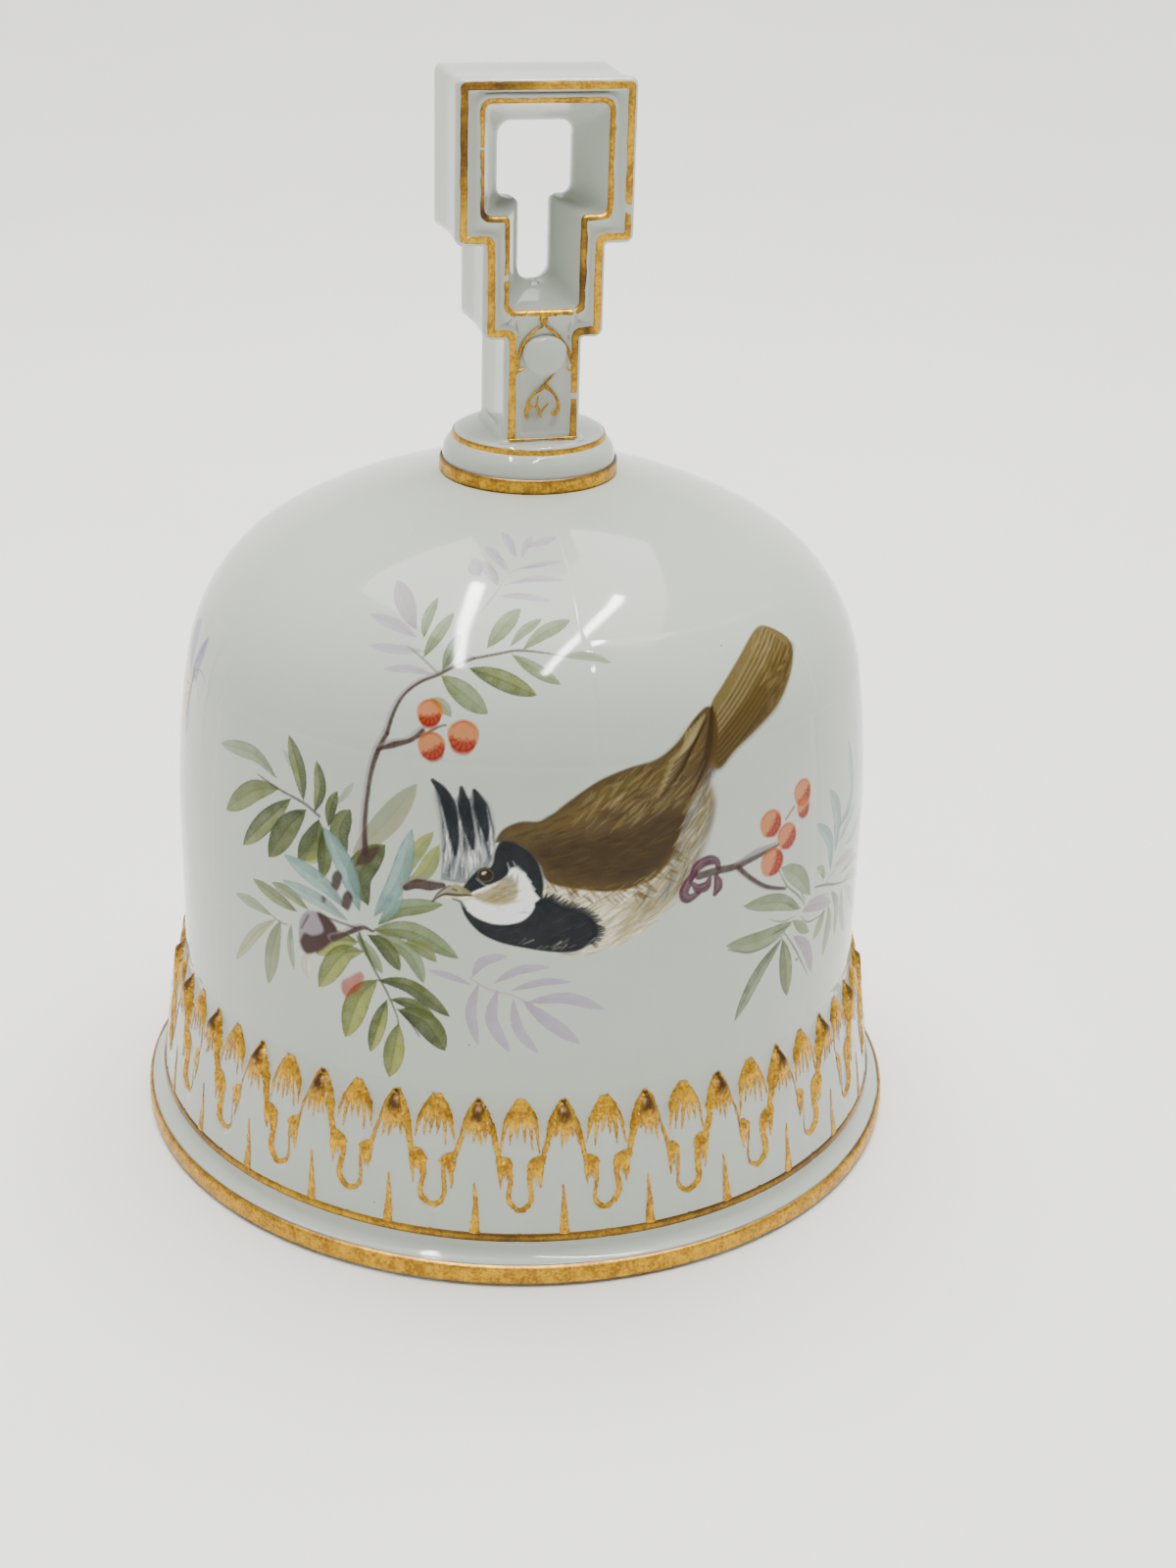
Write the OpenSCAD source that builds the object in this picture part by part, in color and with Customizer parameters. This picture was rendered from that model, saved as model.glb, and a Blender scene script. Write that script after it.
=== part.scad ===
// Table bell: a domed porcelain bell with a pierced, stepped handle and a ball clapper on a ring.
// The bell stands on its foot. The origin is the middle of the foot, Z is the bell's axis, and the
// handle's broad faces look along -Y and +Y.

/* [Bell] */
// Outside diameter of the foot, the widest part of the bell
rim_d = 90; // [76:1:112]
// Height of the dome above the table, before the handle is put on
body_h = 78.4; // [70:0.5:100]
// How far the foot stands out from the straight wall, all round
foot_flare = 5.1; // [3:0.1:9]
// Thickness of the wall and the dome
wall_t = 3.2; // [2.4:0.1:4.5]
// Radius of the dome's crown
crown_r = 57; // [52:1:70]
// Radius of the shoulder between the crown and the flank
shoulder_r = 20; // [14:0.5:24]
// Radius of the slow curve between the shoulder and the straight wall
flank_r = 116; // [90:1:150]
// Angle that the flank curve turns through
flank_angle = 9.75; // [6:0.25:12]

/* [Foot] */
// Width of the flat ring that the bell stands on
foot_ring_w = 3.4; // [2.5:0.1:4.5]
// Height of the gilded bead at the very bottom
bead_h = 2.5; // [1.5:0.1:3.5]
// Rounding of the bead's edges
bead_round = 0.6; // [0.2:0.1:1]
// Height at which the leaf frieze starts, above the cove over the bead
frieze_start_z = 5; // [4:0.1:8]
// How far the frieze's lower edge is set in from the foot's edge
frieze_inset = 2; // [1:0.1:2.6]
// Height of the leaf frieze
frieze_h = 15; // [10:0.1:20]
// How far the frieze stands proud of the wall
frieze_relief = 1; // [0.4:0.1:1.2]

/* [Collar] */
// Diameter of the collar between the dome and the handle
collar_d = 19.6; // [17:0.1:26]
// Height of the collar
collar_h = 4.85; // [4:0.05:8]
// Height of the collar's straight gilded band
collar_band_h = 1.55; // [1:0.05:2.5]
// Diameter of the collar's flat top, where the handle's neck stands
collar_top_d = 15.4; // [15.1:0.1:16.8]

/* [Handle] */
// Depth of the handle from front to back
handle_d = 12.4; // [9:0.1:12.7]
// Width of the handle's neck
neck_w = 8.4; // [6.5:0.1:8.8]
// Height of the neck
neck_h = 11.1; // [8:0.1:16]
// Width of the handle's middle block
mid_w = 13.1; // [11:0.1:15]
// Height of the middle block
mid_h = 9.9; // [7:0.1:14]
// Width of the handle's top block
top_w = 19.2; // [17:0.1:26]
// Height of the top block
top_h = 17; // [14:0.1:24]
// Rounding of the blocks' corners
block_round = 0.8; // [0.3:0.1:1.2]

/* [Handle window] */
// Width of the border beside the opening in the top block
top_border = 2.95; // [2.4:0.05:3.5]
// Width of the border beside the opening in the middle block
mid_border = 2.65; // [2.2:0.05:3]
// Height of the border above the opening
crown_border = 2.5; // [2:0.1:4]
// Height of the border under each step of the opening
step_border = 3.05; // [2.5:0.05:4]
// How far the upper window narrows on each side between the face and the middle
waist_in = 2.4; // [1:0.1:2.6]
// How far the slot narrows on each side between the face and the middle
slot_in = 2; // [1:0.1:2.2]
// Thickness of the straight waist at mid-depth
waist_t = 2; // [1:0.1:4]

/* [Neck ornament] */
// Diameter of the domed boss on each broad face of the neck
boss_d = 5.4; // [4:0.1:6]
// Height of the boss above the neck's face
boss_h = 0.9; // [0.5:0.1:1.3]
// Distance from the top of the neck down to the boss's middle
boss_drop = 1.6; // [1.4:0.1:4.5]

/* [Clapper hanging] */
// Depth of the flat pad inside the crown that the lug is luted to
pad_h = 1; // [0.8:0.1:2]
// Diameter of the lug's round base
lug_base_d = 11; // [9.5:0.5:14]
// Thickness of the lug's round base
lug_base_t = 1.5; // [1:0.1:2.5]
// Width of the lug's tab
lug_w = 8; // [7:0.1:9]
// Thickness of the lug's tab
lug_t = 3; // [2.4:0.1:3.6]
// Distance from the pad down to the lug's cross hole
lug_drop = 5.2; // [5:0.1:8]
// Diameter of the lug's cross hole
lug_hole_d = 3; // [2.8:0.1:3.6]
// Diameter of the wire of the hanging ring
ring_wire_d = 1.6; // [1.2:0.1:1.7]
// Diameter of the hanging ring, measured to the middle of its wire
ring_d = 9; // [8.8:0.1:12]

/* [Clapper] */
// Height of the middle of the clapper's ball above the table
ball_z = 22; // [16:0.5:30]
// Diameter of the clapper's ball
ball_d = 16; // [12:0.5:20]
// Depth of the flat ground on each end of the ball
ball_flat = 0.5; // [0.4:0.1:0.8]
// Diameter of the clapper's wire
wire_d = 1.6; // [1.2:0.1:2]
// Inside diameter of the wire's eye
eye_hole_d = 2.8; // [2.6:0.1:3.4]
// Diameter of the washers above and below the ball
washer_d = 5; // [4:0.1:5.4]
// Thickness of each washer
washer_t = 0.6; // [0.4:0.1:1]
// Diameter of the wire's spread end under the lower washer
peen_d = 2.8; // [2.6:0.1:3.6]
// Height of the spread end
peen_h = 0.8; // [0.5:0.1:1.2]
// Number of turns that the wire takes round itself under the eye
wrap_turns = 3; // [2:1:5]

/* [Clearances] */
// Gap all round the wire in the ball's and the washers' holes
wire_gap = 0.1; // [0.05:0.01:0.2]
// Gap between the ring's wire and the top of the eye's hole
eye_gap = 0.3; // [0.1:0.05:0.4]

/* [Hidden] */

$fn = 96;
cut = 0.1;       // how far a cutting shape runs past what it cuts
arc_step = 3;    // degrees between the points of the dome's outline
bite = 0.1;      // how far each turn of the wrap sinks into the wire it is wound on

// Dome: three arcs, each tangent to the next, over a straight wall.
rim_r = rim_d / 2;
wall_r = rim_r - foot_flare;
flank_cx = wall_r - flank_r;
shoulder_cx = flank_cx + (flank_r - shoulder_r) * cos(flank_angle);
crown_angle = acos(shoulder_cx / (crown_r - shoulder_r));
crown_cz = body_h - crown_r;
shoulder_cz = crown_cz + (crown_r - shoulder_r) * sin(crown_angle);
flank_cz = shoulder_cz - (flank_r - shoulder_r) * sin(flank_angle);

// Foot and frieze.
frieze_top_z = frieze_start_z + frieze_h;
inner_foot_r = rim_r - bead_round - foot_ring_w;

// Collar and handle.
collar_r = collar_d / 2;
seat_z = crown_cz + sqrt(crown_r * crown_r - collar_r * collar_r);
neck_z = seat_z + collar_h;
mid_z = neck_z + neck_h;
top_z = mid_z + mid_h;
handle_top_z = top_z + top_h;
collar_round_w = collar_r - collar_top_d / 2;
collar_round_h = collar_h - collar_band_h;

// Opening in the handle's faces.
open_w = top_w - 2 * top_border;
open_slot_w = mid_w - 2 * mid_border;
open_low_z = mid_z + step_border;
open_step_z = top_z + step_border;
open_high_z = handle_top_z - crown_border;

// Clapper's hanging.
pad_z = body_h - wall_t - pad_h;
hole_z = pad_z - lug_drop;
ring_r = ring_d / 2;
ring_z = hole_z - ring_r;
eye_wire_r = wire_d / 2;
eye_hole_r = eye_hole_d / 2;
eye_r = eye_hole_r + eye_wire_r;
eye_z = ring_z - ring_r + ring_wire_d / 2 + eye_gap - eye_hole_r;
wrap_r = 2 * eye_wire_r - bite;
wrap_top_z = eye_z - eye_r - wire_d;
ball_half_h = ball_d / 2 - ball_flat;
wire_low_z = ball_z - ball_half_h - washer_t;
wire_hole_r = eye_wire_r + wire_gap;

// Points along an arc about (x, z), from angle a to angle b.
function arc(x, z, r, a, b, steps) =
    [for (i = [0:steps]) let (t = a + (b - a) * i / steps) [x + r * cos(t), z + r * sin(t)]];

// Outline of the dome, from the axis down to the straight wall, moved inwards by t.
function dome(t) = concat(
    arc(0, crown_cz, crown_r - t, 90, crown_angle, round((90 - crown_angle) / arc_step)),
    arc(shoulder_cx, shoulder_cz, shoulder_r - t, crown_angle, flank_angle,
        round((crown_angle - flank_angle) / arc_step)),
    arc(flank_cx, flank_cz, flank_r - t, flank_angle, 0, round(flank_angle / arc_step)));

// The order of a list of points turned round.
function backwards(points) = [for (i = [len(points) - 1:-1:0]) points[i]];

// The hollow moulding between the frieze and the bead: a quarter of an ellipse.
function cove() =
    [for (a = [0:15:90])
        [rim_r - frieze_inset * cos(a), frieze_start_z - (frieze_start_z - bead_h) * sin(a)]];

module shell_section() {
    polygon(concat(
        dome(0),
        [[wall_r, frieze_top_z + frieze_relief],
         [wall_r + frieze_relief, frieze_top_z]],
        cove(),
        [[rim_r, bead_round],
         [rim_r - bead_round, 0],
         [inner_foot_r, 0],
         [wall_r - wall_t, frieze_top_z]],
        backwards(dome(wall_t))));
}

module bell_shell() {
    color("whitesmoke")
        difference() {
            union() {
                rotate_extrude() shell_section();
                translate([0, 0, pad_z])
                    cylinder(d = lug_base_d + 2, h = pad_h + wall_t / 2);
            }
            translate([0, 0, seat_z]) cylinder(r = collar_r + cut, h = body_h);
        }
}

// The collar: a straight gilded band with a quarter-round over it and a flat top.
module handle_collar() {
    color("white")
        translate([0, 0, seat_z])
            rotate_extrude()
                polygon(concat(
                    [[0, 0], [collar_r, 0]],
                    [for (a = [0:10:90])
                        [collar_top_d / 2 + collar_round_w * cos(a),
                         collar_band_h + collar_round_h * sin(a)]],
                    [[0, collar_h]]));
}

// A rectangle with round corners, standing on the X axis and centred on the Y axis.
module round_block(w, h, r) {
    translate([-w / 2, r]) square([w, h - 2 * r]);
    translate([-w / 2 + r, 0]) square([w - 2 * r, h]);
    for (x = [-w / 2 + r, w / 2 - r], y = [r, h - r])
        translate([x, y]) circle(r = r);
}

// A slab through the handle, d deep and centred on it, whose front outline is drawn in X and Z.
module upright(d) {
    rotate([90, 0, 0])
        translate([0, 0, -d / 2])
            linear_extrude(d) children();
}

// A pocket that narrows from a rectangle at the front face to a smaller one at the waist.
module funnel(w, low, high, waist_w, waist_low, waist_high) {
    hull() {
        translate([-w / 2, -handle_d / 2 - cut, low]) cube([w, cut, high - low]);
        translate([-waist_w / 2, -waist_t / 2, waist_low])
            cube([waist_w, cut, waist_high - waist_low]);
    }
}

module handle_window() {
    waist_w = open_w - 2 * waist_in;
    waist_slot_w = open_slot_w - 2 * slot_in;
    waist_step_z = open_step_z + slot_in / 2;
    waist_low_z = open_low_z + slot_in;
    waist_high_z = open_high_z - waist_in;
    for (turn = [0, 180])
        rotate([0, 0, turn]) {
            funnel(open_w, open_step_z, open_high_z, waist_w, waist_step_z, waist_high_z);
            funnel(open_slot_w, open_low_z, open_step_z + cut,
                   waist_slot_w, waist_low_z, waist_step_z + cut);
        }
    upright(waist_t + cut) {
        translate([0, waist_step_z])
            round_block(waist_w, waist_high_z - waist_step_z, block_round);
        translate([0, waist_low_z + waist_slot_w / 2]) circle(d = waist_slot_w);
        translate([-waist_slot_w / 2, waist_low_z + waist_slot_w / 2])
            square([waist_slot_w, waist_step_z - waist_low_z]);
    }
}

module handle_frame() {
    color("snow")
        difference() {
            upright(handle_d) {
                translate([-neck_w / 2, neck_z]) square([neck_w, neck_h + block_round]);
                translate([0, mid_z]) round_block(mid_w, mid_h + block_round, block_round);
                translate([0, top_z]) round_block(top_w, top_h, block_round);
            }
            handle_window();
        }
}

// A shallow dome on the neck, its flat side at y = 0 and its top towards -Y.
module boss() {
    boss_r = boss_d / 2;
    ball_r = (boss_r * boss_r + boss_h * boss_h) / (2 * boss_h);
    translate([0, -handle_d / 2, mid_z - boss_drop])
        rotate([90, 0, 0])
            intersection() {
                translate([0, 0, boss_h - ball_r]) sphere(r = ball_r);
                cylinder(r = boss_r + cut, h = boss_h + cut);
            }
}

module front_boss() {
    color("snow") boss();
}

module back_boss() {
    color("snow") rotate([0, 0, 180]) boss();
}

// The lug inside the crown: a round base with a tab, and a cross hole along Y for the ring.
module crown_lug() {
    color("ghostwhite")
        difference() {
            union() {
                translate([0, 0, pad_z - lug_base_t]) cylinder(d = lug_base_d, h = lug_base_t);
                translate([-lug_w / 2, -lug_t / 2, hole_z])
                    cube([lug_w, lug_t, lug_drop - lug_base_t / 2]);
                translate([0, 0, hole_z])
                    rotate([90, 0, 0]) cylinder(d = lug_w, h = lug_t, center = true);
            }
            translate([0, 0, hole_z])
                rotate([90, 0, 0]) cylinder(d = lug_hole_d, h = lug_t + 2 * cut, center = true);
        }
}

// A ring of round wire about the Z axis.
module wire_ring(r, wire_r) {
    rotate_extrude() translate([r, 0]) circle(r = wire_r);
}

module hanging_ring() {
    color("darkgoldenrod")
        translate([0, 0, ring_z])
            rotate([0, 90, 0]) wire_ring(ring_r, ring_wire_d / 2);
}

// The clapper's wire: an eye, the turns that close it, the stem and its spread end.
module clapper_wire() {
    color("darkgoldenrod") {
        translate([0, 0, eye_z]) rotate([90, 0, 0]) wire_ring(eye_r, eye_wire_r);
        for (i = [0:wrap_turns - 1])
            translate([0, 0, wrap_top_z - i * (wire_d - bite)]) wire_ring(wrap_r, eye_wire_r);
        translate([0, 0, wire_low_z - peen_h / 2])
            cylinder(r = eye_wire_r, h = eye_z - eye_r - wire_low_z + peen_h / 2);
        translate([0, 0, wire_low_z - peen_h]) cylinder(d1 = peen_d - 0.6, d2 = peen_d, h = peen_h);
    }
}

module clapper_ball() {
    color("ivory")
        translate([0, 0, ball_z])
            difference() {
                intersection() {
                    sphere(d = ball_d);
                    cube([ball_d, ball_d, 2 * ball_half_h], center = true);
                }
                cylinder(r = wire_hole_r, h = ball_d, center = true);
            }
}

module washer() {
    difference() {
        cylinder(d = washer_d, h = washer_t);
        translate([0, 0, -cut]) cylinder(r = wire_hole_r, h = washer_t + 2 * cut);
    }
}

module upper_washer() {
    color("goldenrod") translate([0, 0, ball_z + ball_half_h]) washer();
}

module lower_washer() {
    color("goldenrod") translate([0, 0, ball_z - ball_half_h - washer_t]) washer();
}

bell_shell();
handle_collar();
handle_frame();
front_boss();
back_boss();
crown_lug();
hanging_ring();
clapper_wire();
clapper_ball();
upper_washer();
lower_washer();
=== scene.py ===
"""Looks of a porcelain table bell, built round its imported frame.

Sizes are in millimetres and turned to metres where a mesh is made. A point of the bell's skin is named
by two lengths: across, which is an angle from the bell's front times the wall's radius, and up, which is
the height on the straight wall and the path along the dome's outline above it.
"""

import logging
import math
from collections.abc import Callable, Mapping
from dataclasses import dataclass, field
from enum import Enum
from typing import ClassVar

import bpy
import numpy as np
from mathutils import Matrix, Vector


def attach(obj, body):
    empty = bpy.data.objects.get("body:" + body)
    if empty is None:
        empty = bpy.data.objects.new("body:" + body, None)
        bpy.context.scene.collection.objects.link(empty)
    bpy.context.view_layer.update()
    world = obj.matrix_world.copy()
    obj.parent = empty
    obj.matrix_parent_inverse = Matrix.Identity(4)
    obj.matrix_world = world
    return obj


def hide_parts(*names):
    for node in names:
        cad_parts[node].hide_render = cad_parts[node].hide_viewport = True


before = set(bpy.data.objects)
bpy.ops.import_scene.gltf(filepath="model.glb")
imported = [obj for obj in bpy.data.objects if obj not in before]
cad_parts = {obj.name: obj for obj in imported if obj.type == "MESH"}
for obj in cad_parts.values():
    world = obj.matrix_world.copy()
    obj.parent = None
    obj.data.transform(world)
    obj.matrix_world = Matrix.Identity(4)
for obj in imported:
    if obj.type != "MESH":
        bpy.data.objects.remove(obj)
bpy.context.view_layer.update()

MM = 0.001
TUBE_SIDE = (0.31, 0.17, 0.94)  # any direction that no tube's path starts along
SOFTENER = (0.25, 0.5, 0.25)  # weights that smooth a path, one pass at a time
Array = np.ndarray
Tree = bpy.types.NodeTree
Socket = bpy.types.NodeSocket
Material = bpy.types.Material
Points = list[tuple[float, float]]
Corners = tuple[Points, list[float]]
log = logging.getLogger("bell")


# ---------------------------------------------------------------- meshes


def smooth_step(x: Array, low: float, high: float) -> Array:
    """0 below low, 1 above high, and 3t^2 - 2t^3 between them."""
    t = np.clip((x - low) / (high - low), 0.0, 1.0)
    return t * t * (3.0 - 2.0 * t)


def wobble(x: Array, seed: int, waves: tuple[int, ...] = (3, 7, 13, 29)) -> Array:
    """A smooth closed random curve: sines of whole wave numbers with seeded phases.

    Args:
        x: Angles in radians.
        seed: Seed of the phases.
        waves: Wave numbers, each weighted by one over its square root.

    Returns:
        Values of about -1 to 1, one for each angle.
    """
    phases = np.random.default_rng(seed).uniform(0.0, 2.0 * math.pi, len(waves))
    parts = [np.sin(n * x + p) / math.sqrt(n) for n, p in zip(waves, phases)]
    return np.sum(parts, axis=0) / sum(1.0 / math.sqrt(n) for n in waves)


class Patchwork:
    """Gathers grids of points into one mesh object.

    A grid's faces look outwards when its columns run to the right and its rows run up, seen from outside.
    """

    def __init__(self, name: str) -> None:
        """Starts an empty mesh called name."""
        self.name = name
        self.points: list[Array] = []
        self.tints: list[Array] = []
        self.quads: list[Array] = []
        self.tris: list[Array] = []
        self.count = 0

    def grid(self, points: Array, tint: Array | None = None, wrap_cols: bool = False,
             wrap_rows: bool = False, start_pole: bool = False, end_pole: bool = False) -> None:
        """Adds a grid of points.

        Args:
            points: Rows, columns and x, y, z in millimetres.
            tint: A colour and a cover for each point, or None.
            wrap_cols: Whether the last column meets the first.
            wrap_rows: Whether the last row meets the first.
            start_pole: Whether the first row is one point.
            end_pole: Whether the last row is one point.
        """
        rows, cols = points.shape[:2]
        index = np.arange(rows * cols).reshape(rows, cols)
        if start_pole:
            index[0] = index[0, 0]
        if end_pole:
            index[-1] = index[-1, 0]
        keep, index = np.unique(index, return_inverse=True)
        index = index.reshape(rows, cols) + self.count
        self.points.append(points.reshape(-1, 3)[keep])
        if tint is not None:
            self.tints.append(tint.reshape(-1, 4)[keep])
        self.count += len(keep)
        if wrap_cols:
            index = np.concatenate([index, index[:, :1]], 1)
        if wrap_rows:
            index = np.concatenate([index, index[:1]], 0)
        corners = [index[:-1, :-1], index[:-1, 1:], index[1:, 1:], index[1:, :-1]]
        quads = np.stack(corners, -1).reshape(-1, 4)
        low = quads[:, 0] == quads[:, 1]
        high = quads[:, 2] == quads[:, 3]
        self.quads.append(quads[~(low | high)])
        self.tris.append(quads[low][:, [0, 2, 3]])
        self.tris.append(quads[high][:, :3])

    def build(self, body: str, slot: str, material: Material,
              replaces: tuple[str, ...] = ()) -> bpy.types.Object:
        """Makes the object, dresses it and lets it ride.

        Args:
            body: The CAD body that it rides on.
            slot: The record's material slot; not used.
            material: Its finish.
            replaces: The CAD nodes that it stands for.

        Returns:
            The new object.
        """
        points = np.concatenate(self.points) * MM
        quads, tris = np.concatenate(self.quads), np.concatenate(self.tris)
        mesh = bpy.data.meshes.new(self.name)
        mesh.vertices.add(len(points))
        mesh.vertices.foreach_set("co", points.astype(np.float32).ravel())
        mesh.loops.add(quads.size + tris.size)
        mesh.loops.foreach_set("vertex_index", np.concatenate([quads.ravel(), tris.ravel()]).astype(np.int32))
        totals = np.concatenate([np.full(len(quads), 4), np.full(len(tris), 3)])
        mesh.polygons.add(len(totals))
        mesh.polygons.foreach_set("loop_start", (np.cumsum(totals) - totals).astype(np.int32))
        mesh.polygons.foreach_set("loop_total", totals.astype(np.int32))
        mesh.polygons.foreach_set("use_smooth", np.ones(len(totals), bool))
        if self.tints:
            tint = mesh.attributes.new("tint", "FLOAT_COLOR", "POINT")
            tint.data.foreach_set("color", np.concatenate(self.tints).astype(np.float32).ravel())
        mesh.update(calc_edges=True)
        mesh.materials.append(material)
        piece = bpy.data.objects.new(self.name, mesh)
        bpy.context.scene.collection.objects.link(piece)
        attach(piece, body)
        if replaces:
            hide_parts(*replaces)
        log.info("%s: %d faces on %s", self.name, len(totals), body)
        return piece


def around(radius: Array, angle: Array, height: Array) -> Array:
    """Points at a radius from the bell's axis, an angle from its front and a height."""
    return np.stack(np.broadcast_arrays(radius * np.sin(angle), -radius * np.cos(angle), height), -1)


def turns(columns: int) -> Array:
    """Evenly spaced angles of one whole turn."""
    return 2.0 * math.pi * np.arange(columns) / columns


def gilt(cover: Array) -> Array:
    """A tint for gold: no colour of its own, and how dark it is at each point."""
    return np.concatenate([np.zeros((*cover.shape, 3)), cover[..., None]], -1)


def lathe(section: Array, columns: int) -> Array:
    """A section turned about the bell's axis.

    Args:
        section: Points of radius and height.
        columns: Number of columns round the axis.

    Returns:
        A grid whose point (i, j) is (r_i sin a_j, -r_i cos a_j, z_i).
    """
    return around(section[:, :1], turns(columns), section[:, 1:])


def tube(path: Array, radius: Array, sides: int, closed: bool = False) -> Array:
    """A round section carried along a path.

    Each ring is centre + r (cos b n + sin b m), where n and m are square to the path. n is kept from
    twisting by taking out of the last n what points along the path.

    Args:
        path: Points of the path.
        radius: Radius at each point.
        sides: Number of sides of the section.
        closed: Whether the path's end meets its start.

    Returns:
        A grid with one row for each point of the path.
    """
    if closed:
        ahead = np.roll(path, -1, 0) - np.roll(path, 1, 0)
    else:
        ahead = np.gradient(path, axis=0)
    ahead /= np.linalg.norm(ahead, axis=1, keepdims=True)
    side = np.empty_like(path)
    last = np.array(TUBE_SIDE)
    for i, a in enumerate(ahead):
        last = last - a * (last @ a)
        last /= np.linalg.norm(last)
        side[i] = last
    if closed:
        across = np.cross(ahead[0], side[0])
        end = side[-1] - ahead[0] * (side[-1] @ ahead[0])
        twist = math.atan2(end @ across, end @ side[0])
        turn = -twist * np.arange(len(path))[:, None] / len(path)
        side = side * np.cos(turn) + np.cross(ahead, side) * np.sin(turn)
    other = np.cross(ahead, side)
    b = turns(sides)
    ring = side[:, None] * np.cos(b)[None, :, None] + other[:, None] * np.sin(b)[None, :, None]
    return path[:, None] + ring * np.broadcast_to(radius, len(path))[:, None, None]


def arc_points(x: float, z: float, r: float, a: float, b: float, steps: int) -> Array:
    """Points on an arc about (x, z) from angle a to angle b, in radians."""
    t = np.linspace(a, b, steps + 1)
    return np.stack([x + r * np.cos(t), z + r * np.sin(t)], -1)


# ---------------------------------------------------------------- finishes


def linear(code: str) -> tuple[float, float, float, float]:
    """An sRGB hex colour as linear red, green, blue and alpha 1."""
    parts = [int(code[i:i + 2], 16) / 255.0 for i in (1, 3, 5)]
    red, green, blue = (c / 12.92 if c <= 0.04045 else ((c + 0.055) / 1.055) ** 2.4 for c in parts)
    return red, green, blue, 1.0


def to_linear(colour: Array) -> Array:
    """sRGB values of 0 to 1 as linear ones."""
    return np.where(colour <= 0.04045, colour / 12.92, ((colour + 0.055) / 1.055) ** 2.4)


def per(size: float) -> float:
    """Scale of a pattern on Object coordinates whose feature is size millimetres."""
    return 1.0 / (size * MM)


def add_node(tree: Tree, kind: str, settings: Mapping[str, object] | None = None,
             inputs: Mapping[str | int, object] | None = None) -> bpy.types.Node:
    """Adds a node with its settings and links.

    Args:
        tree: The material's node tree.
        kind: The node's type without "ShaderNode".
        settings: The node's own properties.
        inputs: Its inputs by name or number, each a value or a socket to link from.

    Returns:
        The new node.
    """
    made = tree.nodes.new("ShaderNode" + kind)
    for key, value in (settings or {}).items():
        setattr(made, key, value)
    for key, value in (inputs or {}).items():
        if isinstance(value, Socket):
            tree.links.new(value, made.inputs[key])
        else:
            made.inputs[key].default_value = value
    return made


def noise(tree: Tree, place: Socket, size: float,
          detail: float) -> Socket:
    """Cloudy noise of 0 to 1 at a place, with features of size millimetres."""
    return add_node(tree, "TexNoise",
        inputs={"Vector": place, "Scale": per(size), "Detail": detail}).outputs["Fac"]


def mix(tree: Tree, share: Socket, low: object, high: object) -> Socket:
    """A colour between low and high, by share."""
    return add_node(tree, "Mix", {"data_type": "RGBA"}, {0: share, 6: low, 7: high}).outputs[2]


def blend(tree: Tree, coarse: Socket, share: float,
          fine: Socket) -> Socket:
    """One value times share, plus the other."""
    return add_node(tree, "Math", {"operation": "MULTIPLY_ADD"}, {0: coarse, 1: share, 2: fine}).outputs[0]


def relief(tree: Tree, height: Socket, size: float) -> Socket:
    """The normal of a surface whose height changes by size millimetres."""
    return add_node(tree, "Bump",
        inputs={"Height": height, "Strength": 1.0, "Distance": size * MM}).outputs["Normal"]


@dataclass(frozen=True)
class Finish:
    """What a surface is made of and how it was made."""

    name: str

    def make(self) -> Material:
        """Makes the material: an empty tree, the finish's own nodes and the output."""
        material = bpy.data.materials.new(self.name)
        material.use_nodes = True
        tree = material.node_tree
        tree.nodes.clear()
        shader = self.nodes(tree, add_node(tree, "TexCoord").outputs["Object"])
        add_node(tree, "OutputMaterial", inputs={"Surface": shader})
        return material

    def nodes(self, tree: Tree, place: Socket) -> Socket:
        """Adds the finish's nodes at a place on the piece and returns the shader's output."""
        raise NotImplementedError


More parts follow.
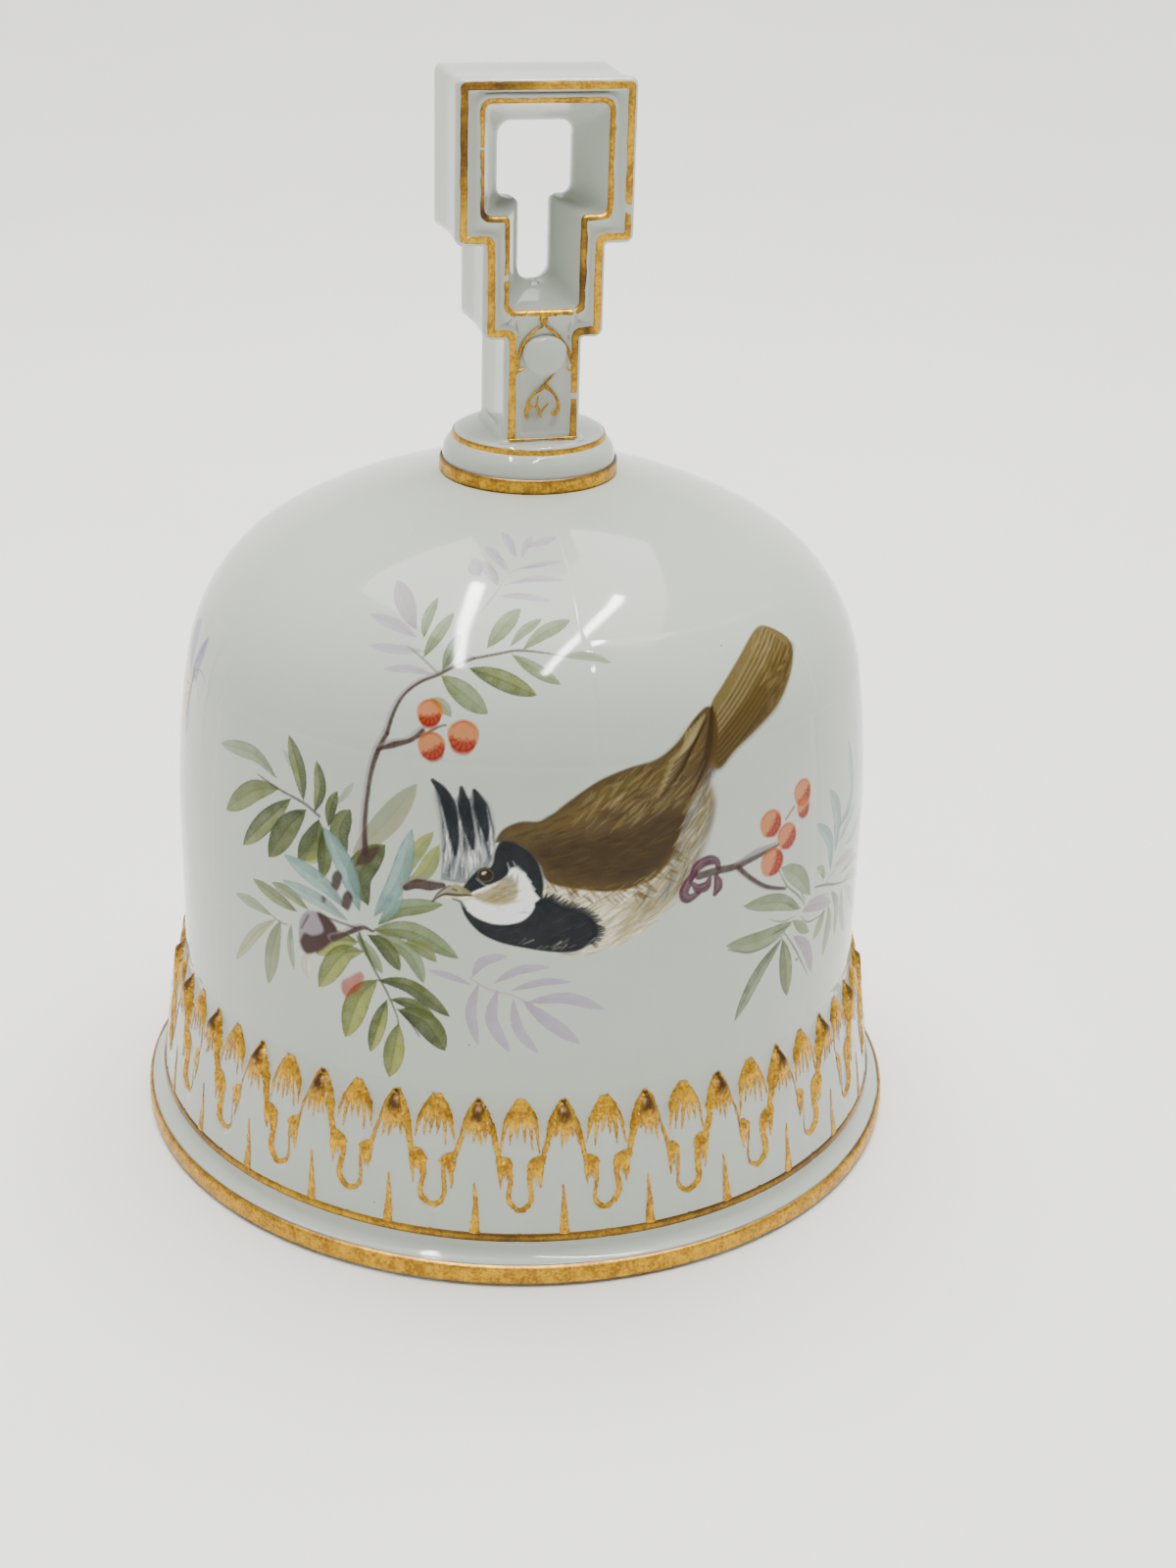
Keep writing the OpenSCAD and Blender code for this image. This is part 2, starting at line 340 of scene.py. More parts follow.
@dataclass(frozen=True)
class GlazedPorcelain(Finish):
    """Hard-paste porcelain, cast, once fired and dipped in clear glaze.

    The eye sees a cool greyish white, a mirror-like glaze whose slow waves bend the reflections, and a few
    dark iron specks. The body colour is darker than the porcelain's own white: that grey is partly painted shade
    for the dimly lit walls.
    """

    # body: greyish white, darker than the porcelain's own white; partly painted shade for the dimly lit walls
    body: str = "#BDC3BA"
    shade: str = "#B4BAB1"
    speck: str = "#4A4438"
    cloud_mm: float = 14.0
    wave_mm: float = 9.0
    peel_mm: float = 1.6
    peel_share: float = 0.05
    speck_gap_mm: float = 9.0
    speck_share: float = 0.016
    roughness: float = 0.07
    wave_height_mm: float = 0.02
    ior: float = 1.52
    gloss: float = 0.13

    def colour(self, tree: Tree, place: Socket) -> Socket:
        """Cloudy white with specks, at a place on the piece."""
        white = mix(tree, noise(tree, place, self.cloud_mm, 2.0), linear(self.body), linear(self.shade))
        cell = add_node(tree, "TexVoronoi", inputs={"Vector": place, "Scale": per(self.speck_gap_mm)})
        dot = add_node(tree, "MapRange", {"interpolation_type": "SMOOTHSTEP"},
            {"Value": cell.outputs["Distance"], "From Min": self.speck_share,
            "From Max": 0.4 * self.speck_share, "To Max": 0.75})
        return mix(tree, dot.outputs[0], white, linear(self.speck))

    def waves(self, tree: Tree, place: Socket) -> Socket:
        """The glaze's normal: slow waves with a faint finer ripple on them."""
        slow, fine = noise(tree, place, self.wave_mm, 0.0), noise(tree, place, self.peel_mm, 0.0)
        return relief(tree, blend(tree, fine, self.peel_share, slow), self.wave_height_mm)

    def nodes(self, tree: Tree, place: Socket) -> Socket:
        """White body under a clear glaze."""
        return self.glaze(tree, place, self.colour(tree, place))

    def glaze(self, tree: Tree, place: Socket,
              colour: Socket) -> Socket:
        """The glossy, gently waving glaze over a colour."""
        inputs = {"Base Color": colour, "Normal": self.waves(tree, place), "Roughness": self.roughness,
            "IOR": self.ior, "Specular IOR Level": self.gloss}
        return add_node(tree, "BsdfPrincipled", inputs=inputs).outputs["BSDF"]


@dataclass(frozen=True)
class EnamelPainting(GlazedPorcelain):
    """On-glaze enamel painted over the same porcelain: soft washes that keep the glaze's gloss."""

    def nodes(self, tree: Tree, place: Socket) -> Socket:
        """Porcelain white covered by the painter's tint where there is any."""
        tint = add_node(tree, "Attribute", {"attribute_name": "tint"})
        colour = mix(tree, tint.outputs["Alpha"], self.colour(tree, place), tint.outputs["Color"])
        return self.glaze(tree, place, colour)


@dataclass(frozen=True)
class BurnishedGold(Finish):
    """Gold lustre brushed on and burnished: warm ochre with a fine grain, brown where it pooled or wore."""

    bright: str = "#D6A212"
    deep: str = "#966806"
    pooled: str = "#452C0A"
    grain_mm: float = 0.35
    brush_mm: float = 1.4
    brush_share: float = 0.7
    deep_from: float = 0.7
    deep_to: float = 1.02
    grain_height_mm: float = 0.02
    metallic: float = 0.6
    roughness: float = 0.42

    def nodes(self, tree: Tree, place: Socket) -> Socket:
        """Grainy gold, darkened by the tint's cover."""
        grain, brush = noise(tree, place, self.grain_mm, 2.0), noise(tree, place, self.brush_mm, 1.0)
        share = add_node(tree, "MapRange", inputs={"Value": blend(tree, brush, self.brush_share, grain),
            "From Min": self.deep_from, "From Max": self.deep_to})
        gold = mix(tree, share.outputs[0], linear(self.bright), linear(self.deep))
        tint = add_node(tree, "Attribute", {"attribute_name": "tint"})
        inputs = {"Base Color": mix(tree, tint.outputs["Alpha"], gold, linear(self.pooled)),
            "Normal": relief(tree, grain, self.grain_height_mm), "Metallic": self.metallic,
            "Roughness": self.roughness}
        return add_node(tree, "BsdfPrincipled", inputs=inputs).outputs["BSDF"]


@dataclass(frozen=True)
class DrawnBrass(Finish):
    """Drawn brass wire, dulled by handling: satin, with fine lengthwise scratches and darker patches."""

    bright: str = "#C9A24E"
    dull: str = "#8A6A30"
    patch_mm: float = 2.5
    scratch_mm: float = 0.25
    scratch_height_mm: float = 0.02
    roughness: float = 0.32

    def nodes(self, tree: Tree, place: Socket) -> Socket:
        """Patchy brass with a scratched surface."""
        colour = mix(tree, noise(tree, place, self.patch_mm, 3.0), linear(self.bright), linear(self.dull))
        scratches = relief(tree, noise(tree, place, self.scratch_mm, 2.0), self.scratch_height_mm)
        inputs = {"Base Color": colour, "Normal": scratches, "Metallic": 1.0, "Roughness": self.roughness}
        return add_node(tree, "BsdfPrincipled", inputs=inputs).outputs["BSDF"]


@dataclass(frozen=True)
class PaperSweep(Finish):
    """Matt photographer's paper: pale, with the faintest mottle, and clear when seen from behind."""

    pale: str = "#F3F3F1"
    mottle: str = "#ECECEA"
    mottle_mm: float = 60.0
    roughness: float = 0.6

    def nodes(self, tree: Tree, place: Socket) -> Socket:
        """Mottled matt white on its upper side only."""
        colour = mix(tree, noise(tree, place, self.mottle_mm, 3.0), linear(self.pale), linear(self.mottle))
        paper = add_node(tree, "BsdfPrincipled", inputs={"Base Color": colour, "Roughness": self.roughness})
        side = add_node(tree, "NewGeometry").outputs["Backfacing"]
        clear = add_node(tree, "BsdfTransparent").outputs["BSDF"]
        sheet = add_node(tree, "MixShader", inputs={0: side, 1: paper.outputs["BSDF"], 2: clear})
        return sheet.outputs["Shader"]


@dataclass(frozen=True)
class Paints:
    """The materials that the pieces share."""

    porcelain: Material
    painting: Material
    gold: Material
    brass: Material


class Slot(Enum):
    """The record's material slots."""

    PORCELAIN = "porcelain"
    BRASS = "brass_wire"
    GOLD = "gilding"
    ENAMEL = "enamel_paint"


def gilt_band(name: str, grid: Array, cover: Array, paints: Paints) -> None:
    """A thin closed band of gold round the bell's axis, darker where its cover is higher."""
    band = Patchwork(name)
    band.grid(grid, gilt(cover), wrap_cols=True)
    band.build("bell", Slot.GOLD.value, paints.gold)


# ---------------------------------------------------------------- bell


@dataclass
class Bell:
    """The cast shell: foot, cove, leaf frieze in relief, straight wall and dome, hollow and open below."""

    wall_r: float = 39.9
    rim_r: float = 45.0
    wall: float = 3.2
    apex_z: float = 78.4
    flank_r: float = 116.0
    flank_turn: float = math.radians(9.75)
    shoulder_r: float = 20.0
    crown_r: float = 57.0
    pad_z: float = 74.2
    inner_foot_r: float = 41.0
    frieze_z: float = 5.0
    frieze_top_z: float = 20.0
    repeats: int = 28
    columns_each: int = 26
    mean_r: float = 42.0
    leaf_r: float = 43.67
    leaf_lean: float = 0.1333
    leaf_depth: float = 0.98
    leaf_end_z: float = 20.6
    flank_x: float = field(init=False)
    shoulder_x: float = field(init=False)
    crown_turn: float = field(init=False)
    crown_z: float = field(init=False)
    shoulder_z: float = field(init=False)
    straight_z: float = field(init=False)
    columns: int = field(init=False)
    pitch: float = field(init=False)
    grid_z: Array = field(init=False)
    grid_r: Array = field(init=False)

    def __post_init__(self) -> None:
        """Works out the dome's arc centres and the frieze's grid of radii."""
        self.flank_x = self.wall_r - self.flank_r
        self.shoulder_x = self.flank_x + (self.flank_r - self.shoulder_r) * math.cos(self.flank_turn)
        self.crown_turn = math.acos(self.shoulder_x / (self.crown_r - self.shoulder_r))
        self.crown_z = self.apex_z - self.crown_r
        self.shoulder_z = self.crown_z + (self.crown_r - self.shoulder_r) * math.sin(self.crown_turn)
        self.straight_z = self.shoulder_z - (self.flank_r - self.shoulder_r) * math.sin(self.flank_turn)
        self.columns = self.repeats * self.columns_each
        self.pitch = 2.0 * math.pi / self.repeats
        self.grid_z = np.concatenate([np.linspace(4.3, 21.0, 47), np.linspace(22.0, 37.0, 7)])
        self.grid_r = self.frieze_radius(turns(self.columns)[None, :], self.grid_z[:, None])

    def outline(self, up: Array, inset: float = 0.0) -> tuple[Array, Array, Array]:
        """The bell's outline above the frieze.

        Straight to straight_z, then three arcs that meet at a tangent: radius flank_r through flank_turn,
        shoulder_r up to crown_turn, and crown_r about the axis.

        Args:
            up: Length along the outline, equal to the height on the straight wall.
            inset: How far inside the outline, square to it.

        Returns:
            Radius, height and the slope of the outward normal, for each length.
        """
        flank_end = self.straight_z + self.flank_r * self.flank_turn
        shoulder_end = flank_end + self.shoulder_r * (self.crown_turn - self.flank_turn)
        parts = [up < self.straight_z, up < flank_end, up < shoulder_end]
        turn = np.select(parts, [0.0, (up - self.straight_z) / self.flank_r,
            self.flank_turn + (up - flank_end) / self.shoulder_r],
            self.crown_turn + (up - shoulder_end) / self.crown_r)
        base_x = np.select(parts, [self.wall_r, self.flank_x, self.shoulder_x], 0.0)
        base_z = np.select(parts, [up, self.straight_z, self.shoulder_z], self.crown_z)
        size = np.select(parts, [0.0, self.flank_r, self.shoulder_r], self.crown_r) - inset
        return base_x + size * np.cos(turn), base_z + size * np.sin(turn), turn

    @property
    def top_up(self) -> float:
        """Length along the outline from the table to the apex."""
        return (self.straight_z + self.flank_r * self.flank_turn + self.shoulder_r
            * (self.crown_turn - self.flank_turn) + self.crown_r * (0.5 * math.pi - self.crown_turn))

    def leaf_height(self, angle: Array, z: Array) -> Array:
        """How far the frieze's leaves stand out, from 0 in the gaps to 1 on the tall leaves.

        Each repeat has a tall pointed leaf, whose half-width grows from 0 at the tip along a parabola to
        the shoulders below, and a lower leaf behind it, between the tall ones, with a tongue that hangs
        down from it.

        Args:
            angle: Angle round the bell.
            z: Height.

        Returns:
            The height of the relief, as a share.
        """
        low = (np.mod(angle / self.pitch + 0.5, 1.0) - 0.5) * self.pitch * self.mean_r
        tall = (np.mod(angle / self.pitch, 1.0) - 0.5) * self.pitch * self.mean_r
        drop = np.clip(20.1 - z, 0.0, None)
        tall_half = np.where(z > 13.5, 1.02 * drop ** 0.52, 3.35)
        leaf = smooth_step(tall_half - np.abs(tall), -0.05, 0.5) * smooth_step(20.3 - z, 0.0, 1.4)
        low_half = 1.35 * drop ** 0.55
        back = smooth_step(low_half - np.abs(low), -0.1, 0.55) * smooth_step(20.3 - z, 0.0, 1.4)
        tongue_half = 1.3 * np.sqrt(np.clip(1.0 - np.clip((9.1 - z) / 1.4, 0.0, 1.0) ** 2, 0.0, 1.0))
        tongue = smooth_step(tongue_half - np.abs(low), -0.15, 0.35) * smooth_step(13.6 - z, 0.0, 0.4)
        base = smooth_step(13.9 - z, 0.0, 0.7)
        merged = np.maximum(leaf, base)
        return np.maximum(merged - 0.4 * tongue * base, 0.58 * back)

    def frieze_radius(self, angle: Array, z: Array) -> Array:
        """Radius of the bell's side up to its straight wall, relief and all."""
        full = self.leaf_r - self.leaf_lean * z
        ground = np.maximum(np.where(z < self.leaf_end_z, full - self.leaf_depth, self.wall_r), self.wall_r)
        share = self.leaf_height(angle, z) * smooth_step(self.leaf_end_z - z, 0.0, 0.6)
        return ground + (full - ground) * share

    def side_radius(self, angle: Array, z: Array) -> Array:
        """Radius of the mesh's side at an angle and height, between its grid points."""
        across = np.mod(angle / (2.0 * math.pi), 1.0) * self.columns
        low = np.floor(across).astype(int)
        part = across - low
        low %= self.columns
        high = (low + 1) % self.columns
        row = np.clip(np.searchsorted(self.grid_z, z) - 1, 0, len(self.grid_z) - 2)
        rise = np.clip((z - self.grid_z[row]) / (self.grid_z[row + 1] - self.grid_z[row]), 0.0, 1.0)
        below = self.grid_r[row, low] * (1.0 - part) + self.grid_r[row, high] * part
        above = self.grid_r[row + 1, low] * (1.0 - part) + self.grid_r[row + 1, high] * part
        return below * (1.0 - rise) + above * rise

    def on_side(self, angle: Array, z: Array, lift: Array | float) -> Array:
        """Points lift millimetres out from the frieze, at angles and heights."""
        return around(self.side_radius(angle, z) + lift, angle, z)

    def on_wall(self, across: Array, up: Array, lift: Array | float) -> Array:
        """Points lift millimetres off the wall or dome, at the two lengths that name its points."""
        radius, height, turn = self.outline(up)
        return around(radius + lift * np.cos(turn), across / self.wall_r, height + lift * np.sin(turn))

    def build(self, paints: Paints) -> None:
        """Builds the shell as one closed skin, from the middle of its ceiling round the foot to its apex."""
        ceiling = np.linspace(0.0, 1.0, 20)[1:]
        inner_r, inner_z, _ = self.outline(self.top_up + (self.frieze_top_z - self.top_up) * ceiling,
            self.wall)
        keep = (inner_z < self.pad_z) & (inner_r > 5.0)
        inside = np.stack([inner_r[keep], inner_z[keep]], -1)
        pad_r = inside[0, 0]
        inside = np.concatenate([[[0.0, self.pad_z], [0.5 * pad_r, self.pad_z], [0.97 * pad_r, self.pad_z]],
            inside])
        splay = np.linspace(0.0, 1.0, 6)[1:, None]
        bottom = np.array([self.inner_foot_r, 0.4])
        foot = inside[-1] + (bottom - inside[-1]) * splay
        flat = [[41.05, 0.12], [41.3, 0.0], [42.0, 0.0], [43.4, 0.0]]
        bead = arc_points(44.3, 0.7, 0.7, -0.5 * math.pi, 0.0, 5)
        shoulder = arc_points(44.4, 1.9, 0.6, 0.0, 0.45 * math.pi, 5)
        t = np.linspace(0.12, 1.0, 9)[:, None] * 0.5 * math.pi
        cove = np.concatenate([self.rim_r - 2.0 * np.sin(t), self.frieze_z - 0.9 - 1.65 * np.cos(t)], 1)
        section = np.concatenate([inside, foot, flat, bead, shoulder, cove[:-1]])
        side = lathe(section, self.columns)
        band = around(self.grid_r, turns(self.columns), self.grid_z[:, None])
        dome_r, dome_z, _ = self.outline(np.linspace(38.0, self.top_up, 26))
        dome_r[-1] = 0.0
        dome = lathe(np.stack([dome_r, dome_z], -1), self.columns)
        shell = Patchwork("porcelain_shell")
        shell.grid(np.concatenate([side, band, dome]), wrap_cols=True, start_pole=True, end_pole=True)
        shell.build("bell", Slot.PORCELAIN.value, paints.porcelain, ("bell_shell",))


@dataclass
class Gilding:
    """Gold brushed along the bell's foot and round the leaves of its frieze."""

    bell: Bell
    lift: float = 0.06
    line: float = 0.56

    def ribbon(self, work: Patchwork, across: Array, z: Array, width: Array, seed: int) -> None:
        """One brush stroke laid on the frieze.

        Its centre line is the path and its edges lie half a width to each side, square to the path.

        Args:
            work: The mesh it joins.
            across: Angle times the frieze's mean radius along the path.
            z: Height along the path.
            width: Full width along the path.
            seed: Seed of the pooled, darker places.
        """
        length = np.concatenate([[0.0], np.cumsum(np.hypot(np.diff(across), np.diff(z)))])
        count = max(4, int(length[-1] / 0.28))
        t = np.linspace(0.0, length[-1], count)
        across, z, width = np.interp(t, length, across), np.interp(t, length, z), np.interp(t, length, width)
        slope_x, slope_z = np.gradient(across), np.gradient(z)
        size = np.hypot(slope_x, slope_z) + 1e-9
        rng = np.random.default_rng(seed)
        rough = rng.normal(0.0, 0.035, (2, count))
        side = np.array([0.5, 0.0, -0.5])
        offset = width * side[:, None]
        offset[0] += rough[0]
        offset[2] += rough[1]
        x = across - slope_z / size * offset
        y = z + slope_x / size * offset
        crown = np.array([0.0, 0.05, 0.0])[:, None]
        points = self.bell.on_side(x / self.bell.mean_r, np.clip(y, 4.35, 21.0), self.lift + crown)
        edge = np.clip(rng.normal(0.22, 0.25, (2, count)), 0.0, 0.95)
        middle = np.clip(rng.normal(0.0, 0.08, count), 0.0, 0.5)
        work.grid(points[::-1], gilt(np.stack([edge[1], middle, edge[0]])))

    def repeat(self, work: Patchwork, place: float, seed: int) -> None:
        """The gold of one tall leaf at place and of the low leaf half a pitch to its right.

        Args:
            work: The mesh it joins.
            place: Where the tall leaf's middle is, across the frieze.
            seed: Seed of this repeat's hand.
        """
        rng = np.random.default_rng(seed)
        half = 0.5 * self.bell.pitch * self.bell.mean_r

        def draw(points: Points, widths: list[float], shift: float = 0.0) -> None:
            """One stroke through points, smoothed, with the hand's small wander."""
            line = np.array(points) + rng.normal(0.0, 0.07, (len(points), 2))
            t = np.arange(len(points))
            fine = np.linspace(0, len(points) - 1, 6 * len(points))
            x, z = (np.interp(fine, t, line[:, k]) for k in (0, 1))
            for _ in range(9):
                x[1:-1], z[1:-1] = (np.convolve(v, SOFTENER, "valid") for v in (x, z))
            self.ribbon(work, place + shift + x, z, np.interp(fine, t, widths), int(rng.integers(1 << 30)))

        w = self.line
        for way in (-1.0, 1.0):
            draw([(0.0, 20.4), (way * 0.75, 19.3), (way * 1.3, 17.9), (way * 1.8, 16.2), (way * 2.15, 14.8),
                (way * 2.4, 13.6)], [0.8 * w, 1.2 * w, 1.1 * w, 0.9 * w, 0.9 * w, w])
            draw([(way * 2.35, 13.9), (way * 2.5, 12.9), (way * 2.55, 11.9),
                (way * 2.6, 10.9 + rng.uniform(-0.7, 0.5))], [w, 1.2 * w, 0.7 * w, 0.2 * w])
            draw([(way * 2.2, 14.1), (way * 2.9, 13.8), (way * 3.4, 13.5), (way * 3.75, 13.0)],
                [0.8 * w, 1.5 * w, 1.5 * w, 1.2 * w])
            for k in range(3):
                x = way * (2.75 + 0.3 * k)
                draw([(x, 13.7), (x, 12.7), (x, 11.9 - rng.uniform(-0.4, 0.8))], [0.8 * w, 0.7 * w, 0.15 * w])
        draw([(0.1, 5.1), (0.05, 6.6), (0.0, 8.4), (-0.1, 10.0), (-0.15, 11.2)],
            [2.1 * w, 1.6 * w, 1.0 * w, 0.6 * w, 0.3 * w])
        for k in np.linspace(-1.0, 1.0, 6):
            end = 15.9 - rng.uniform(-0.5, 1.1) + 0.5 * abs(k)
            draw([(0.25 * k, 20.1), (0.85 * k, 18.5), (1.35 * k, 17.2), (1.65 * k, end)],
                [0.9 * w, 1.25 * w, 0.95 * w, 0.2 * w])
        draw([(-1.3, 13.6), (-1.05, 12.9), (-1.1, 11.4), (-1.3, 10.0), (-1.25, 8.8), (0.0, 7.7),
            (1.25, 8.8), (1.3, 10.0), (1.1, 11.4), (1.05, 12.9), (1.3, 13.6)],
            [1.2 * w] + 9 * [0.9 * w] + [1.2 * w], half)
        for k in np.linspace(-1.0, 1.0, 6):
            end = 16.4 - rng.uniform(-0.4, 1.0) - 0.9 * abs(k)
            draw([(0.25 * k, 20.4), (1.0 * k, 19.1), (1.7 * k, 18.0), (2.15 * k, end)],
                [0.9 * w, 1.3 * w, 0.95 * w, 0.2 * w], half)

    def smudge(self, work: Patchwork, place: float, seed: int) -> None:
        """A dark burnt smudge on a tall leaf's tip: a small patch whose cover fades downwards."""
        rng = np.random.default_rng(seed)
        x = np.linspace(-1.0, 1.0, 9)[None, :]
        z = np.linspace(17.6, 20.35, 8)[:, None]
        wide = 0.3 + 0.45 * np.clip(20.1 - z, 0.0, 1.6) ** 0.9
        points = self.bell.on_side((place + x * wide) / self.bell.mean_r, z + 0.0 * x, self.lift + 0.07)
        fade = smooth_step(z + rng.normal(0.0, 0.25, (8, 9)), 17.5, 18.9) * (1.0 - 0.35 * x * x)
        work.grid(points, gilt(fade))

    def build(self, paints: Paints) -> None:
        """Builds the frieze's gold, the foot's band and the line between them."""
        for name, lay, seed in (("frieze_gilding", self.repeat, 100), ("frieze_gold_tips", self.smudge, 300)):
            work = Patchwork(name)
            for k in range(self.bell.repeats):
                lay(work, (k + 0.5) * self.bell.pitch * self.bell.mean_r, seed + k)
            work.build("bell", Slot.GOLD.value, paints.gold)
        self.foot_band(paints)

    def foot_band(self, paints: Paints) -> None:
        """The gilt bead and the gold line over the cove, each a thin skin turned about the axis."""
        angle = turns(720)
        bead = np.concatenate([arc_points(44.3, 0.75, 0.73, -0.28 * math.pi, 0.0, 4),
            arc_points(44.4, 1.9, 0.63, 0.0, 0.4 * math.pi, 5)])
        grid = lathe(bead, 720)
        grid[0, :, 2] += 0.05 * wobble(angle, 5)
        grid[-1, :, 2] += 0.06 * wobble(angle, 6)
        edge = np.array([0.75, 0.35, 0.1, 0.0, 0.0, 0.0, 0.0, 0.1, 0.25, 0.5, 0.85])[:, None]
        cover = np.clip(edge + 0.12 * wobble(angle, 7, (11, 23, 41)), 0.0, 0.9)
        gilt_band("foot_gilding", grid, cover, paints)
        x = np.array([-0.52, -0.38, -0.12, 0.12, 0.38, 0.52])[:, None]
        lift = np.array([-0.05, 0.09, 0.15, 0.15, 0.09, -0.05])[:, None]
        z = 4.95 + x + 0.05 * wobble(angle, 8, (2, 5, 9))
        grid = around(self.bell.side_radius(angle + 0.0 * x, z) + lift + 0.02, angle, z)
        dark = np.clip(0.6 + 0.75 * wobble(angle, 9, (2, 3, 7, 13)), 0.0, 0.95)
        side = np.array([0.5, 0.3, 0.0, 0.0, 0.3, 0.5])[:, None]
        gilt_band("cove_gold_line", grid, np.clip(side + dark, 0.0, 0.95), paints)


# ---------------------------------------------------------------- painting


class Pigment(Enum):
    """The enamel colours on the painter's tile."""

    PORCELAIN = "#E9EAE4"
    OLIVE = "#626B3C"
    DARK_OLIVE = "#3F4829"
    MOSS = "#818A58"
    LIME = "#9AA05A"
    SAGE = "#83936E"
    DUCK_EGG = "#8FABA8"
    SLATE_GREEN = "#5F7A76"
    MAUVE = "#A0909C"
    LILAC = "#A59DB4"
    TWIG = "#3E2826"
    TWIG_GREY = "#948A92"
    BERRY = "#C47838"
    BERRY_RED = "#A83A14"
    BERRY_DARK = "#6E200C"
    BLACK = "#14181F"
    BLUE_GREY = "#7C8286"
    BROWN = "#554325"
    DEEP_BROWN = "#37291A"
    OCHRE = "#73633E"
    BUFF = "#9F9372"
    CREAM = "#CCC6B2"
    WHITE = "#F4F4EF"
    PLUM = "#4E2439"
    VIOLET = "#7F74A4"
    APRICOT = "#D9A970"


def rgb(pigment: Pigment) -> Array:
    """A pigment's sRGB values of 0 to 1."""
    return np.array([int(pigment.value[i:i + 2], 16) / 255.0 for i in (1, 3, 5)])


def smoothed(points: Points, share: int = 8) -> Array:
    """Points on a Catmull-Rom curve through the given ones: each span is a cubic in its parameter."""
    p = np.array([points[0], *points, points[-1]], float)
    t = np.linspace(0.0, 1.0, share, endpoint=False)[:, None]
    spans = [0.5 * (2.0 * b + (c - a) * t + (2.0 * a - 5.0 * b + 4.0 * c - d) * t ** 2
        + (3.0 * b - a - 3.0 * c + d) * t ** 3) for a, b, c, d in zip(p, p[1:], p[2:], p[3:])]
    return np.concatenate([*spans, p[-1:]])


